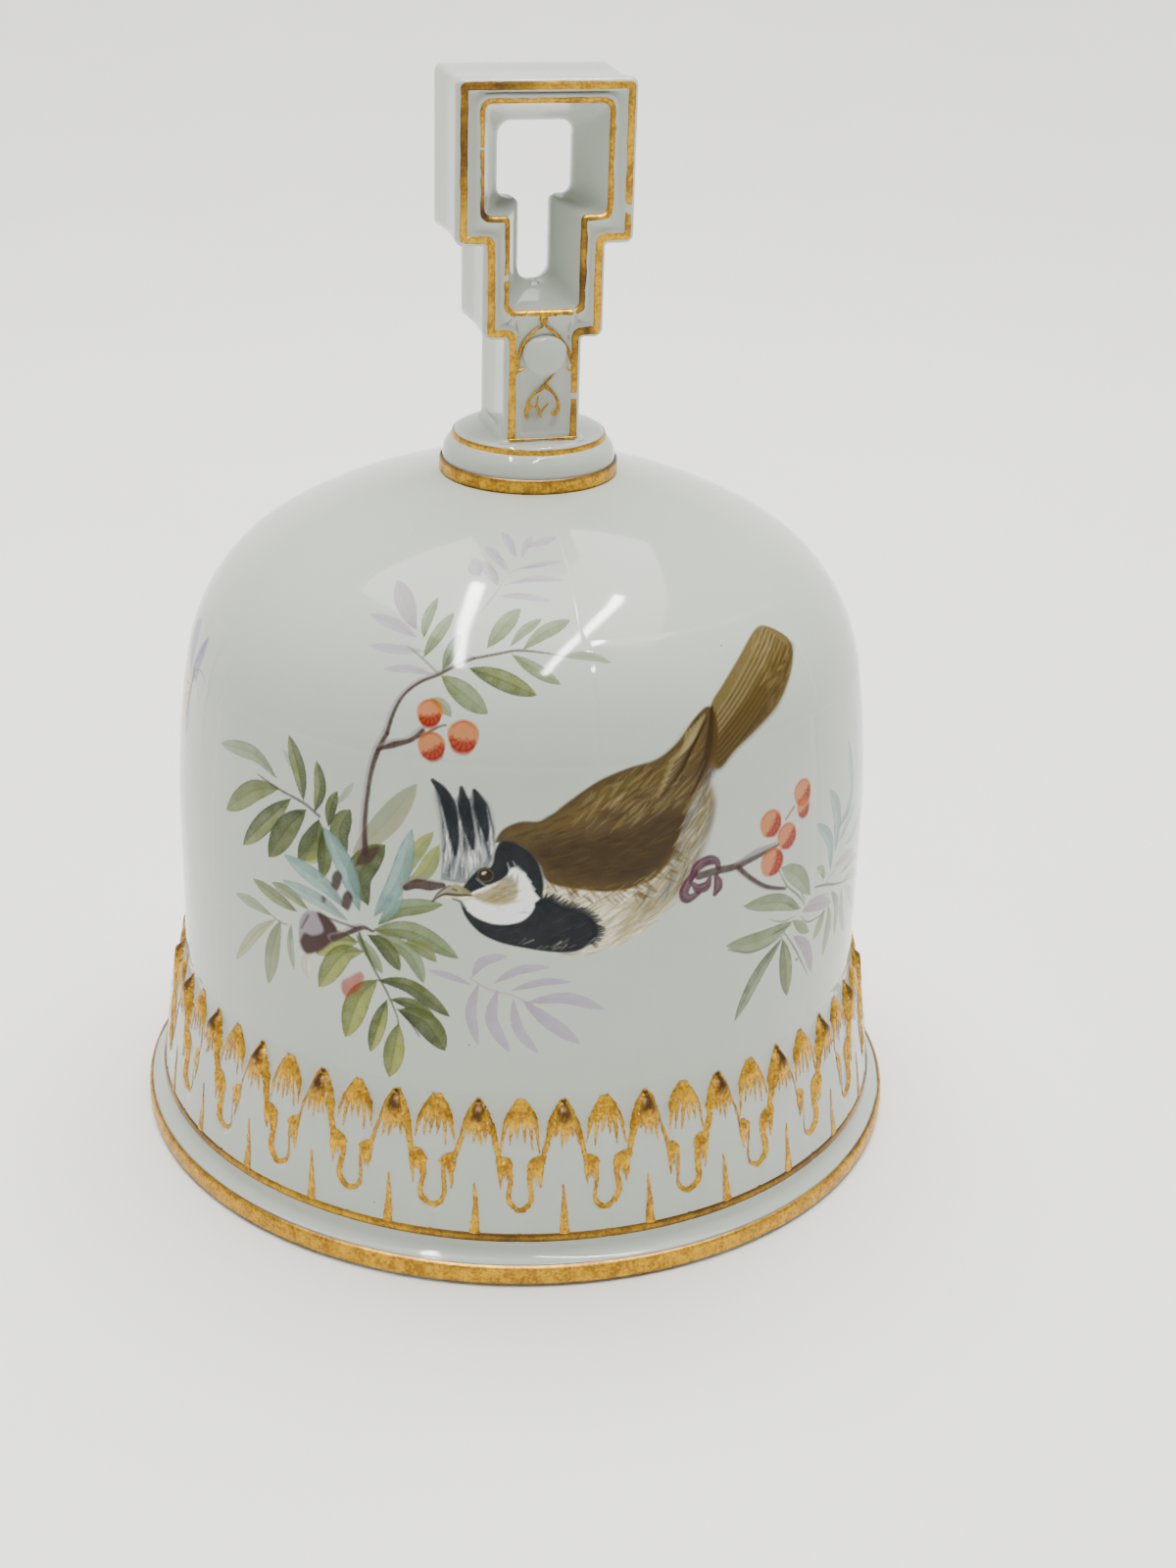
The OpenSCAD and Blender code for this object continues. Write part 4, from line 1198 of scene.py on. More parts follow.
        for line, wide, tone in (([(13.9, 35.2), (17, 33.9), (20, 33.8), (22.6, 34.3)], 0.22, p.DARK_OLIVE),
            ([(19.8, 37.0), (22, 36), (24.4, 35.8)], 0.2, p.OLIVE),
            ([(22.4, 34.6), (25, 31.2), (28, 26.8)], 0.26, p.TWIG),
            ([(25.5, 35.3), (27.4, 33.9), (32, 33.7)], 0.24, p.DARK_OLIVE),
            ([(25.8, 35.9), (27, 36.5), (30, 36.2), (32, 35.4)], 0.26, p.TWIG_GREY),
            ([(28.0, 37.9), (30.5, 37.2), (33, 36.2), (37, 34.8)], 0.4, p.TWIG),
            ([(30.5, 37.3), (32.4, 37.9), (36, 38.4)], 0.22, p.TWIG_GREY),
            ([(26, 36.6), (24.4, 38.4), (22.4, 40.2), (21, 42.4)], 0.3, p.DARK_OLIVE),
            ([(20.6, 35), (23.6, 35)], 0.2, p.DARK_OLIVE),
            ([(22.5, 38.1), (24.6, 36.5)], 0.2, p.DARK_OLIVE),
            ([(25.2, 38.3), (26, 37)], 0.2, p.DARK_OLIVE), ([(29.3, 39), (30, 38)], 0.2, p.DARK_OLIVE)):
            c.stroke(line, [0.5 * wide, wide, 0.8 * wide, 0.4 * wide], tone, 0.75)
        self.twig([(15.0, 44.5), (16.8, 42.8), (19.2, 41.1), (22.2, 39.9)], [0.6, 0.55, 0.5, 0.35])
        c.stroke([(9.8, 44.8), (12, 44.9), (14.5, 44.8), (17.5, 45.1), (20.8, 45.5)],
            [0.9, 0.9, 0.8, 0.6, 0.3], p.TWIG, 0.9)
        c.stroke([(14.5, 45.1), (17.5, 45.7), (20.4, 45.8)], [0.3, 0.7, 0.3], p.TWIG_GREY, 0.85)
        c.stroke([(22, 48), (23.5, 49)], [0.25, 0.35], p.BERRY_RED, 0.75)
        for x, y, size, turn in ((19.6, 48.3, 1.65, 0.6), (25.1, 50.2, 1.6, 0.3), (25.2, 48.4, 1.2, 0.1),
            (22.2, 46.1, 1.6, 0.5), (19.8, 43.8, 1.75, 0.9)):
            c.berry(x, y, size, turn)
        c.fill([(25.0, 29.9), (25.4, 29.9), (25.4, 30.2), (25.0, 30.2)], p.BERRY_DARK, 0.6)

    def shadow(self) -> None:
        """The lilac spray under the bird, painted as if far behind."""
        p = Pigment
        rows = [(1.3, -13.6, 34.2, -14.4, 30.8, -13.6, 26.8), (1.5, -11.6, 33.6, -12.2, 30, -10.2, 26.1),
            (1.3, -10, 32.6, -9.4, 29, -7.2, 26.0), (1.7, -9, 32.4, -6.4, 30, -2.8, 27.0),
            (1.5, -8.6, 32.2, -4.4, 32.6, -0.3, 30.9), (1.0, -10.2, 33.6, -7, 34.6, -4, 34.5),
            (1.1, -12, 34.4, -9.4, 36, -6.2, 36.4), (1.2, -14.3, 34.9, -13.2, 36.8, -10.6, 37.7),
            (0.9, -14.4, 34, -16.6, 34.8, -19, 35.2)]
        self.leaves([(width, 0.55, p.LILAC, p.MAUVE, *rib) for width, *rib in rows], 0.3, 0.12, 0.1)
        self.canvas.stroke([(-14.6, 34.9), (-12.5, 33.6), (-10, 33), (-8.5, 32.2)], [0.2, 0.3, 0.25, 0.15],
            p.MAUVE, 0.55)


@dataclass
class Tit:
    """A crested bird that leans down its twig towards the left, painted feather by feather."""

    canvas: Canvas
    back: ClassVar[Points] = [(-12.2, 50.2), (-11.4, 51.6), (-9.6, 52.5), (-7.2, 52.7), (-4.6, 54.6),
        (-1.4, 56.6), (2, 57.7), (5, 58.2), (7.6, 59.6), (10.2, 61.8), (12.3, 62.6), (12.9, 60.4),
        (12.2, 57.6), (10.8, 56.4), (10.3, 54.6), (8.2, 51.6), (6.9, 48.2), (4.8, 45.6), (1, 44.6),
        (-3, 45), (-6.6, 46), (-7.6, 48), (-9.6, 50)]
    belly: ClassVar[Points] = [(-8, 38.8), (-4.6, 37.8), (-2.2, 37.7), (0.6, 38.3), (3.4, 39.7),
        (6.2, 41.8), (8.4, 44.4), (10, 47), (11.3, 50), (11.8, 52.6), (11.2, 54.8), (12.6, 56.8),
        (10.4, 57), (8, 52.5), (5, 46.6), (1, 45.4), (-3, 45.6), (-7, 46), (-7.2, 43), (-4, 41)]
    tail: ClassVar[Points] = [(11.2, 57.2), (12.2, 62.2), (15, 64.6), (18.6, 66.8), (22.2, 68.6),
        (24.6, 69.1), (26.6, 68.2), (28.2, 66.6), (27.8, 65.2), (26, 63.4), (22.4, 60.9), (18.6, 59.2),
        (15, 57.6), (12.6, 56)]
    bib: ClassVar[Points] = [(-15.6, 43.3), (-15.0, 41.8), (-13.6, 40.2), (-11.6, 39.2), (-9, 38.6),
        (-6, 38.1), (-3.6, 38.1), (-1.9, 39), (-1.4, 40.4), (-2.2, 41.9), (-3.6, 42.6), (-5, 43.2),
        (-6.4, 44.0), (-7.6, 43.8), (-8.4, 42.4), (-9.6, 41.5), (-11.8, 41.2), (-14, 41.9)]
    hood: ClassVar[Points] = [(-15.5, 44.9), (-14.9, 45.8), (-13.9, 47.0), (-12.5, 47.6), (-12.1, 49.3),
        (-11.5, 50.3), (-10, 50.2), (-8.6, 49.3), (-7.6, 47.9), (-7.1, 46), (-7.3, 44.4), (-7.9, 44.6),
        (-8.4, 45.7), (-9.2, 47), (-10.3, 47.6), (-11, 46.6), (-12.2, 45.8), (-14, 44.9), (-15.2, 44.2)]
    crest: ClassVar[Points] = [(-17.7, 45.7), (-17.6, 49), (-17.9, 52.4), (-18.6, 55.2), (-19.0, 56.2),
        (-17.6, 55.8), (-16.4, 54.2), (-15.9, 55.7), (-15.0, 54.6), (-14.5, 55.7), (-13.2, 54.6),
        (-12.6, 53), (-12.2, 51), (-12.3, 48.6), (-13.4, 46.6), (-15, 45.6)]

    def body(self) -> None:
        """Cream belly, grey flank, brown back and wing, and the long tail, each under its feathers."""
        p, c = Pigment, self.canvas
        c.fill(self.belly, p.CREAM, 0.97, 0.25)
        c.fill([(8, 52.5), (10.4, 57), (12.6, 56.8), (11.3, 54.8), (11.9, 52.4), (11.3, 50), (10, 47),
            (8.2, 44.4), (6.6, 43), (6.4, 46)], p.BLUE_GREY, 0.85, 0.9)
        c.fill([(8.6, 50.5), (10.2, 54.4), (10.8, 57), (12.4, 56.8), (11.4, 54.6), (11.8, 52.2),
            (10.8, 49.4)], p.DEEP_BROWN, 0.5, 0.8)
        c.fill(self.tail, p.OCHRE, 0.97, 0.25)
        c.fill([(11.4, 57.6), (14, 60.4), (19, 63), (24, 65), (28, 66), (27.6, 65), (22.4, 60.9),
            (18.6, 59.2), (15, 57.6), (12.6, 56)], p.BROWN, 0.85, 1.0)
        for k in range(9):
            s = k / 8.0
            start, end = (12.4 + 0.2 * s, 61.2 - 4.4 * s), (24.9 + 2.9 * s, 68.8 - 3.4 * s)
            mid = (0.5 * (start[0] + end[0]), 0.5 * (start[1] + end[1]) + 0.3)
            c.stroke([start, mid, end], [0.2, 0.5, 0.3], p.BUFF if k < 4 else p.OCHRE, 0.55)
            c.stroke([(start[0], start[1] - 0.3), (mid[0], mid[1] - 0.25), (end[0], end[1] - 0.2)],
                [0.2, 0.35, 0.2], p.DEEP_BROWN, 0.45)
        c.plumage(70, inside_outline(self.tail), (20, 28, 60, 69), lambda x, y: 0.42, p.BUFF, (1.2, 2.6),
            (0.12, 0.3), 0.5, strict=True)
        c.fill(self.back, p.BROWN, 0.98, 0.25)
        c.fill([(-10.5, 51.2), (-7.2, 52.3), (-3, 55), (2, 57), (6, 58.2), (10, 61), (11, 58), (6, 55.6),
            (0, 53.4), (-5, 51.6)], p.OCHRE, 0.55, 1.4)
        c.fill([(-8.6, 49.6), (-6, 47.0), (-2, 45.9), (3, 45.6), (6.6, 48), (8.6, 52), (4, 52), (-1, 50.4),
            (-5, 50.8)], p.DEEP_BROWN, 0.6, 1.6)
        back = inside_outline(self.back)
        c.plumage(260, back, (-11, 12, 46, 62), lambda x, y: 0.28 + 0.045 * (y - 50), p.DEEP_BROWN,
            (1.2, 2.8), (0.12, 0.3), 0.5, strict=True)
        c.plumage(240, back, (-11, 12, 45, 62), lambda x, y: 0.28 + 0.045 * (y - 50), p.OCHRE, (1.2, 2.8),
            (0.12, 0.3), 0.36, strict=True)
        scapular = inside_outline([(-5.6, 52.6), (-2, 55.4), (2, 57.3), (5.6, 57.9), (8.8, 57.4),
            (9.4, 54.6), (7.2, 52.6), (3, 51.4), (-2, 51)])
        c.plumage(110, scapular, (-6, 9, 51, 58), lambda x, y: 0.75 - 0.02 * x, p.BUFF, (1.4, 3.0),
            (0.16, 0.34), 0.5, strict=True)
        c.plumage(40, scapular, (-6, 9, 51, 58), lambda x, y: 0.75 - 0.02 * x, p.CREAM, (1.0, 2.2),
            (0.1, 0.2), 0.4)
        for k in range(6):
            s = k / 5.0
            c.stroke([(5.0 + 1.6 * s, 54.4 + 3.4 * s), (7.6 + 1.5 * s, 57.0 + 2.4 * s),
                (8.9 + 2.5 * s, 60.4 + 1.4 * s)], [0.3, 0.75, 0.35], p.BUFF, 0.75)
            c.stroke([(5.5 + 1.6 * s, 54.3 + 3.2 * s), (8.1 + 1.4 * s, 56.9 + 2.2 * s),
                (9.4 + 2.4 * s, 60.2 + 1.4 * s)], [0.2, 0.35, 0.2], p.DEEP_BROWN, 0.7)
        c.stroke([(9.0, 54.0), (11.0, 57.4), (12.0, 60.4), (12.6, 62.4)], [0.3, 0.9, 0.9, 0.4],
            p.DEEP_BROWN, 0.85)
        c.stroke([(10.6, 55.4), (12.0, 58.2), (12.9, 61.8)], [0.3, 0.5, 0.3], p.BROWN, 0.8)

    def underside(self) -> None:
        """Fine strokes that comb the belly and flank down towards the tail."""
        p, c = Pigment, self.canvas
        belly = inside_outline(self.belly)
        c.fill([(1, 39.4), (5, 41.4), (9, 45.4), (11.4, 50.4), (11.8, 54), (10, 54), (7, 47.6), (2, 43)],
            p.BUFF, 0.7, 1.4)
        c.plumage(520, belly, (-8, 12, 37.6, 56), lambda x, y: 0.5 + 0.03 * max(x, 0.0), p.BUFF, (1.4, 3.2),
            (0.1, 0.24), 0.65, strict=True)
        c.plumage(160, belly, (-6, 12, 37.6, 56), lambda x, y: 0.5 + 0.03 * max(x, 0.0), p.BROWN,
            (1.0, 2.6), (0.06, 0.12), 0.45, strict=True)
        c.plumage(300, belly, (-8, 12, 37.6, 56), lambda x, y: 0.5 + 0.04 * max(x, 0.0), p.WHITE,
            (1.2, 3.0), (0.1, 0.2), 0.36, strict=True)
        flank = inside_outline([(3, 40.4), (8.2, 44.4), (11.3, 50), (11.9, 53), (11.2, 55.6), (8.6, 53),
            (6.6, 47.6), (2, 43)])
        c.plumage(150, flank, (2, 12, 40, 56), lambda x, y: 0.8 + 0.03 * x, p.BLUE_GREY, (1.4, 3.4),
            (0.12, 0.3), 0.55, strict=True)
        c.plumage(90, flank, (2, 12, 40, 56), lambda x, y: 0.8 + 0.03 * x, p.DEEP_BROWN, (1.2, 3.0),
            (0.08, 0.16), 0.5, strict=True)
        rim = inside_outline([(-8, 38.2), (-3, 37.5), (2, 38.8), (7, 42.2), (6.4, 43), (2, 40), (-3, 38.7)])
        c.plumage(120, rim, (-8, 8, 37.4, 43), lambda x, y: 0.35 + 0.04 * x, p.BUFF, (1.0, 2.2), (0.1, 0.2),
            0.6)
        wing = inside_outline([(-6.8, 45.2), (-3, 44.2), (1, 43.8), (5, 44.6), (7.4, 47.6), (6.4, 49),
            (4.4, 46.6), (1, 45.8), (-3, 46.2), (-6.6, 47)])
        c.plumage(150, wing, (-7, 8, 43.6, 49), lambda x, y: -0.75 + 0.03 * x, p.BROWN, (0.8, 1.8),
            (0.12, 0.26), 0.7)

    def head(self) -> None:
        """Crest, black hood and bib, white cheek, buff ear patch, eye and beak."""
        p, c = Pigment, self.canvas
        c.fill(self.crest, p.BLUE_GREY, 0.9, 0.25)
        c.fill([(-17.4, 49), (-17.8, 52.4), (-18.4, 55), (-16.4, 54), (-15, 54.4), (-13.2, 54.2),
            (-12.6, 52), (-13, 50)], p.BLACK, 0.45, 1.2)
        crest = inside_outline(self.crest)
        c.plumage(90, crest, (-18.6, -12, 45.8, 51), lambda x, y: 1.62 + 0.05 * (x + 15), p.WHITE,
            (1.0, 2.6), (0.12, 0.28), 0.6)
        c.plumage(70, crest, (-18.6, -12, 46, 53), lambda x, y: 1.62 + 0.05 * (x + 15), p.BLACK, (1.2, 2.6),
            (0.08, 0.2), 0.55)
        for line in ([(-16.2, 48.6), (-16.6, 52), (-17.4, 54.6), (-18.9, 56.2)],
            [(-14.4, 49.4), (-14.9, 52), (-15.4, 54), (-15.8, 55.7)],
            [(-13, 50.4), (-13.3, 52.6), (-13.9, 54.4), (-14.4, 55.5)]):
            c.stroke(line, [0.3, 1.3, 1.5, 0.5], p.BLACK, 0.94, 0.3)
        for line in ([(-17.4, 46.6), (-17.1, 50), (-17.9, 53.6)],
            [(-15.5, 47.4), (-15.7, 51), (-16.3, 54.2)], [(-13.8, 48), (-14.1, 51), (-14.8, 54.4)],
            [(-12.5, 49), (-12.6, 51.4), (-13.1, 54)], [(-16.3, 46), (-15.9, 48.5), (-15.8, 50.4)],
            [(-15.0, 46.2), (-14.8, 48), (-14.8, 49.6)]):
            c.stroke(line, [0.16, 0.26, 0.1], p.WHITE, 0.6)
        c.fill([(-15.6, 44.6), (-14.2, 45.6), (-12, 47), (-10.2, 47.8), (-8.8, 47), (-8, 45.6),
            (-7.4, 44.2), (-8.2, 42.6), (-9.6, 41.4), (-12.4, 41.2), (-14.6, 42.2), (-15.8, 43.6)], p.WHITE,
            0.97, 0.25)
        c.fill([(-14.6, 44.2), (-12.6, 45.3), (-11, 46.6), (-10, 46.2), (-9.6, 44.9), (-10.2, 43.7),
            (-11.8, 43.3), (-13.4, 43.6)], p.BUFF, 0.85, 0.6)
        c.plumage(60, inside_outline([(-14.6, 44.2), (-11, 46.6), (-9.6, 44.9), (-10.4, 43.4),
            (-13.4, 43.4)]), (-14.6, -9.6, 43.2, 46.6), lambda x, y: 0.35, p.OCHRE, (0.5, 1.2),
            (0.08, 0.18), 0.5)
        c.plumage(40, inside_outline([(-11, 46.8), (-9.8, 46.4), (-9.6, 44.6), (-10.6, 44.4)]),
            (-11.2, -9.4, 44, 47), lambda x, y: 1.4, p.BLUE_GREY, (0.4, 1.0), (0.1, 0.2), 0.6)
        c.plumage(50, inside_outline([(-14.8, 43), (-12, 42.4), (-9, 42.6), (-8.6, 44), (-10, 43.4),
            (-13, 43.4)]), (-15, -8.4, 42, 44), lambda x, y: -0.15, p.BLUE_GREY, (0.8, 1.8), (0.06, 0.12),
            0.4)
        c.fill(self.bib, p.BLACK, 0.98, 0.22)
        c.fill(self.hood, p.BLACK, 0.98, 0.22)
        edge = [(-7.6, 43.8), (-6.4, 44.2), (-5, 43.4), (-3.4, 42.8), (-2, 41.8), (-1.3, 40.2), (-2, 38.9)]
        for k, (x, y) in enumerate(smoothed(edge, 6)):
            a = 1.2 - 0.045 * k + c.rng.normal(0.0, 0.2)
            c.stroke([(x - 0.4 * math.cos(a), y - 0.4 * math.sin(a)),
                (x + 0.7 * math.cos(a), y + 0.7 * math.sin(a))], [0.34, 0.1], p.BLACK, 0.9, 0.2, 2)
        for x in c.rng.uniform(-9.6, -2.0, 16):
            y, a = 38.5 - 0.06 * (x + 6) + c.rng.uniform(-0.2, 0.5), c.rng.uniform(0.3, 0.8)
            size = c.rng.uniform(0.5, 1.5)
            c.stroke([(x, y), (x + size * math.cos(a), y + size * math.sin(a))], [0.08, 0.15], p.CREAM,
                c.rng.uniform(0.3, 0.75), 0.2, 2)
        for x, y, a in ((-9.3, 47.2, 2.3), (-8.7, 46.4, 2.2), (-8.3, 45.6, 2.2), (-8.0, 44.8, 2.2),
            (-9.9, 47.6, 2.1), (-10.6, 47.4, 1.9)):
            c.stroke([(x - 0.5 * math.cos(a), y - 0.5 * math.sin(a)),
                (x + 0.7 * math.cos(a), y + 0.7 * math.sin(a))], [0.24, 0.08], p.WHITE, 0.8, 0.2, 2)
        c.plumage(40, inside_outline(self.bib), (-15, -2, 38, 44), lambda x, y: 0.2, p.BLUE_GREY,
            (0.8, 1.8), (0.06, 0.12), 0.3)
        ring = np.linspace(0.0, 2.0 * math.pi, 13)
        c.fill([(-13.05 + 0.95 * math.cos(a), 46.6 + 0.85 * math.sin(a)) for a in ring[:-1]], p.BLACK, 0.98,
            0.15)
        c.stroke([(-13.05 + 0.78 * math.cos(a), 46.6 + 0.7 * math.sin(a)) for a in ring], [0.16], p.OCHRE,
            0.95, 0.1, 3)
        c.fill([(-13.05 + 0.48 * math.cos(a), 46.6 + 0.45 * math.sin(a)) for a in ring[:-1]], p.DEEP_BROWN,
            0.9, 0.1)
        c.stroke([(-13.3, 46.8), (-13.1, 46.9)], [0.28, 0.22], p.WHITE, 0.95, 0.0, 3)
        c.stroke([(-12.0, 45.6), (-13, 45.5), (-14, 46.2)], [0.1, 0.14, 0.1], p.WHITE, 0.6, 0.0, 3)
        c.fill([(-18.5, 43.3), (-17.6, 44.2), (-16.4, 45.3), (-15.4, 45.2), (-14.4, 44.4), (-15.6, 44.0),
            (-17.2, 44.0), (-18.1, 43.6)], p.BUFF, 0.95, 0.15)
        c.fill([(-18.3, 43.6), (-17, 43.95), (-15.6, 43.9), (-14.2, 44.2), (-15, 43.5), (-16.6, 43.6)],
            p.CREAM, 0.95, 0.15)
        for line, tone in (([(-18.5, 43.2), (-17.4, 44.1), (-16, 44.2), (-14.4, 44.3)], p.BLACK),
            ([(-18.5, 43.2), (-17.9, 44.2), (-16.7, 45.2)], p.DEEP_BROWN),
            ([(-16.4, 43.7), (-15.6, 43.5), (-15.0, 42.8)], p.BLACK)):
            c.stroke(line, [0.12, 0.22, 0.12], tone, 0.9, 0.1)
        c.stroke([(-16.4, 44.8), (-16.0, 44.7)], [0.14, 0.12], p.BLACK, 0.8, 0.0, 3)

    def feet(self) -> None:
        """Plum claws round the twig."""
        p, c = Pigment, self.canvas
        for line in ([(12.3, 45.2), (12.0, 46.0), (10.9, 46.3), (9.6, 45.8), (8.9, 44.6)],
            [(9.4, 45.3), (8.6, 44.4), (8.1, 43.2), (8.6, 42.5), (9.8, 42.8)],
            [(9.2, 44.0), (9.8, 43.4), (10.8, 43.5), (11.2, 44.2)],
            [(12.0, 44.3), (12.3, 43.2), (11.9, 42.3)]):
            c.stroke(line, [0.6, 1.15, 1.25, 0.6], p.PLUM, 0.95, 0.25)
            c.stroke([(x, y + 0.15) for x, y in line], [0.1, 0.18, 0.1], p.MAUVE, 0.55)

    def paint(self) -> None:
        """Paints the bird from its far side to its near one."""
        self.body()
        self.underside()
        self.feet()
        self.head()


@dataclass
class Butterfly:
    """A small insect that hovers on the far left, seen from the side."""

    canvas: Canvas
    x: float = -60.5
    y: float = 56.0

    def paint(self) -> None:
        """Violet wings above, an apricot body side below, and fine feelers."""
        p, c, x, y = Pigment, self.canvas, self.x, self.y
        c.fill([(x, y), (x - 3.4, y + 2.2), (x - 4.8, y + 5.2), (x - 2.4, y + 6.2), (x - 0.4, y + 4.0)],
            p.VIOLET, 0.7, 0.7)
        c.fill([(x, y), (x + 0.8, y + 3.0), (x + 2.8, y + 6.0), (x + 3.6, y + 4.4), (x + 2.6, y + 1.0)],
            p.VIOLET, 0.75, 0.6)
        c.fill([(x + 0.2, y), (x - 4.2, y + 0.8), (x - 6.2, y - 1.4), (x - 4.4, y - 4.8),
            (x - 0.6, y - 5.4), (x + 0.9, y - 2.4)], p.APRICOT, 0.75, 0.8)
        c.fill([(x + 0.6, y - 1.4), (x - 0.4, y - 5.2), (x + 0.6, y - 6.6), (x + 1.8, y - 4.2)], p.VIOLET,
            0.55, 0.7)
        c.stroke([(x + 1.4, y + 1.6), (x + 0.6, y - 1.2), (x - 0.2, y - 4.4)], [0.7, 0.9, 0.4],
            p.DEEP_BROWN, 0.75)
        for line in ([(x + 1.4, y + 1.6), (x + 3.8, y + 2.4), (x + 6.0, y + 1.8)],
            [(x + 1.4, y + 1.4), (x + 3.4, y + 0.6), (x + 4.6, y - 0.8)],
            [(x, y + 0.6), (x - 2.4, y + 3.2), (x - 3.6, y + 5.2)],
            [(x + 0.8, y + 1.4), (x + 2, y + 3.6), (x + 3, y + 5.6)],
            [(x - 0.2, y - 0.6), (x - 3, y - 1.2), (x - 5.4, y - 1.6)],
            [(x - 0.2, y - 1.6), (x - 2.4, y - 3), (x - 3.8, y - 4.4)]):
            c.stroke(line, [0.12, 0.16, 0.08], p.DEEP_BROWN, 0.6)


@dataclass
class Painting:
    """The enamel painting as thin skins a hair's breadth off the glaze, cut into tiles."""

    bell: Bell
    lift: float = 0.03
    gain: float = 0.62
    richness: float = 1.3
    depth: float = 1.6
    tiles: tuple[tuple[str, float, float, float, float], ...] = (
        ("painting_left_low", -50.0, -22.0, 20.9, 58.0), ("painting_bird_head", -22.0, 4.0, 20.9, 58.0),
        ("painting_bird_flank", 4.0, 28.0, 20.9, 58.0), ("painting_right", 28.0, 50.0, 20.9, 58.0),
        ("painting_top", -36.0, -1.5, 58.0, 88.0), ("painting_tail", -1.5, 30.0, 58.0, 71.0),
        ("painting_insect", -67.8, -53.0, 48.0, 64.5))

    def fired(self, colour: Array) -> Array:
        """Linear colours after the kiln: each is moved from its own grey, then scaled by that grey squared."""
        light = to_linear(np.clip(colour, 0.0, 1.0))
        grey = light.mean(-1, keepdims=True)
        rich = np.clip(grey + (light - grey) * self.richness, 0.001, None)
        return np.clip(rich * (self.gain + self.depth * grey ** 2), 0.0, 0.9)

    def thinned(self, colour: Array, cover: Array) -> Array:
        """The cover that mixes linear colours to the tone that the painter's mix of sRGB ones has."""
        grey, white = colour.mean(-1), 0.74
        mixed = grey * cover + white * (1.0 - cover)
        gap = to_linear(np.full_like(grey, white)) - to_linear(grey)
        share = (to_linear(np.full_like(grey, white)) - to_linear(mixed)) / np.where(np.abs(gap) < 0.02,
            1.0, gap)
        return np.clip(np.where(np.abs(gap) < 0.02, cover, share), 0.0, 1.0)

    def build(self, paints: Paints) -> None:
        """Paints the whole sheet and makes each tile's skin, its border tucked into the glaze."""
        canvas = Canvas((-68.0, 20.8), (50.1, 89.5))
        foliage = Foliage(canvas)
        foliage.shadow()
        foliage.left()
        foliage.top()
        foliage.right()
        Tit(canvas).paint()
        Butterfly(canvas).paint()
        for name, x0, x1, y0, y1 in self.tiles:
            c0, c1 = np.searchsorted(canvas.x, [x0, x1])
            r0, r1 = np.searchsorted(canvas.y, [y0, y1])
            rows, cols = slice(r0, r1 + 1), slice(c0, c1 + 1)
            x, y = canvas.x[cols][None, :], canvas.y[rows][:, None]
            cover = canvas.cover[rows, cols]
            from_row, from_col = (np.minimum(np.arange(n), np.arange(n)[::-1]) for n in (y.size, x.size))
            inner = np.clip(np.minimum(from_row[:, None], from_col[None, :]) / 5.0, 0.0, 1.0)
            lift = np.where(cover > 0.0, self.lift, self.lift - 0.07 * (1.0 - inner))
            tint = np.concatenate([self.fired(canvas.colour[rows, cols]),
                self.thinned(canvas.colour[rows, cols], cover)[..., None]], -1)
            skin = Patchwork(name)
            skin.grid(self.bell.on_wall(x, y, lift), tint)
            skin.build("bell", Slot.ENAMEL.value, paints.painting)


# ---------------------------------------------------------------- handle


@dataclass
class Collar:
    """The round stand between dome and handle: a gilt band below, a sloping shoulder and a small flat top."""

    seat_z: float = 77.55
    radius: float = 9.8
    band: float = 1.55
    height: float = 4.85
    flat_r: float = 7.7

    def section(self) -> Array:
        """Its outline from the seat's edge to the middle of its top."""
        top = self.seat_z + self.height
        band = [[self.radius - 0.25, self.seat_z - 0.5], [self.radius, self.seat_z - 0.1],
            [self.radius, self.seat_z + self.band - 0.25], [self.radius - 0.25, self.seat_z + self.band]]
        t = np.linspace(0.0, 1.0, 9)[:, None]
        start, end = np.array([self.radius - 0.22, self.seat_z + self.band + 0.05]), np.array([8.5,
            top - 0.9])
        bulge = np.array([0.3, 0.15]) * np.sin(math.pi * t)
        slope = start + (end - start) * t + bulge
        lip = arc_points(self.flat_r - 0.1, top - 0.9, 0.9, 0.0, 0.5 * math.pi, 6)
        flat = [[0.6 * self.flat_r, top], [0.0, top]]
        return np.concatenate([band, slope, lip, flat])

    def build(self, paints: Paints) -> None:
        """Builds the collar, its gilt band and the gold ring round its top."""
        section = self.section()
        collar = Patchwork("handle_stand")
        closed = np.concatenate([[[0.0, self.seat_z - 0.5]], section])
        collar.grid(lathe(closed, 192), wrap_cols=True, start_pole=True, end_pole=True)
        collar.build("bell", Slot.PORCELAIN.value, paints.porcelain, ("handle_collar",))
        angle = turns(192)
        x = np.array([-0.06, 0.02, 0.3, 0.75, 1.15, 1.45, 1.58])[:, None]
        radius = self.radius + np.array([-0.02, 0.06, 0.07, 0.07, 0.07, 0.05, -0.12])[:, None]
        z = self.seat_z + x + 0.03 * wobble(angle, 21)
        edge = np.array([0.9, 0.8, 0.12, 0.0, 0.1, 0.6, 0.9])[:, None]
        cover = np.clip(edge + 0.15 * wobble(angle, 22, (3, 7, 17)), 0.0, 0.95)
        gilt_band("stand_gilding", around(radius, angle, z), cover, paints)
        top = self.seat_z + self.height
        turn = np.linspace(-0.25, 0.62, 6)[:, None] + 0.07 * wobble(angle, 23, (2, 5, 11))
        radius = self.flat_r - 0.1 + 0.95 * np.cos(turn)
        z = top - 0.9 + 0.95 * np.sin(turn)
        edge = np.array([0.6, 0.2, 0.0, 0.0, 0.25, 0.6])[:, None]
        cover = np.clip(edge + 0.2 * wobble(angle, 24, (3, 8, 19)), 0.0, 0.95)
        gilt_band("stand_gold_ring", around(radius, angle, z), cover, paints)


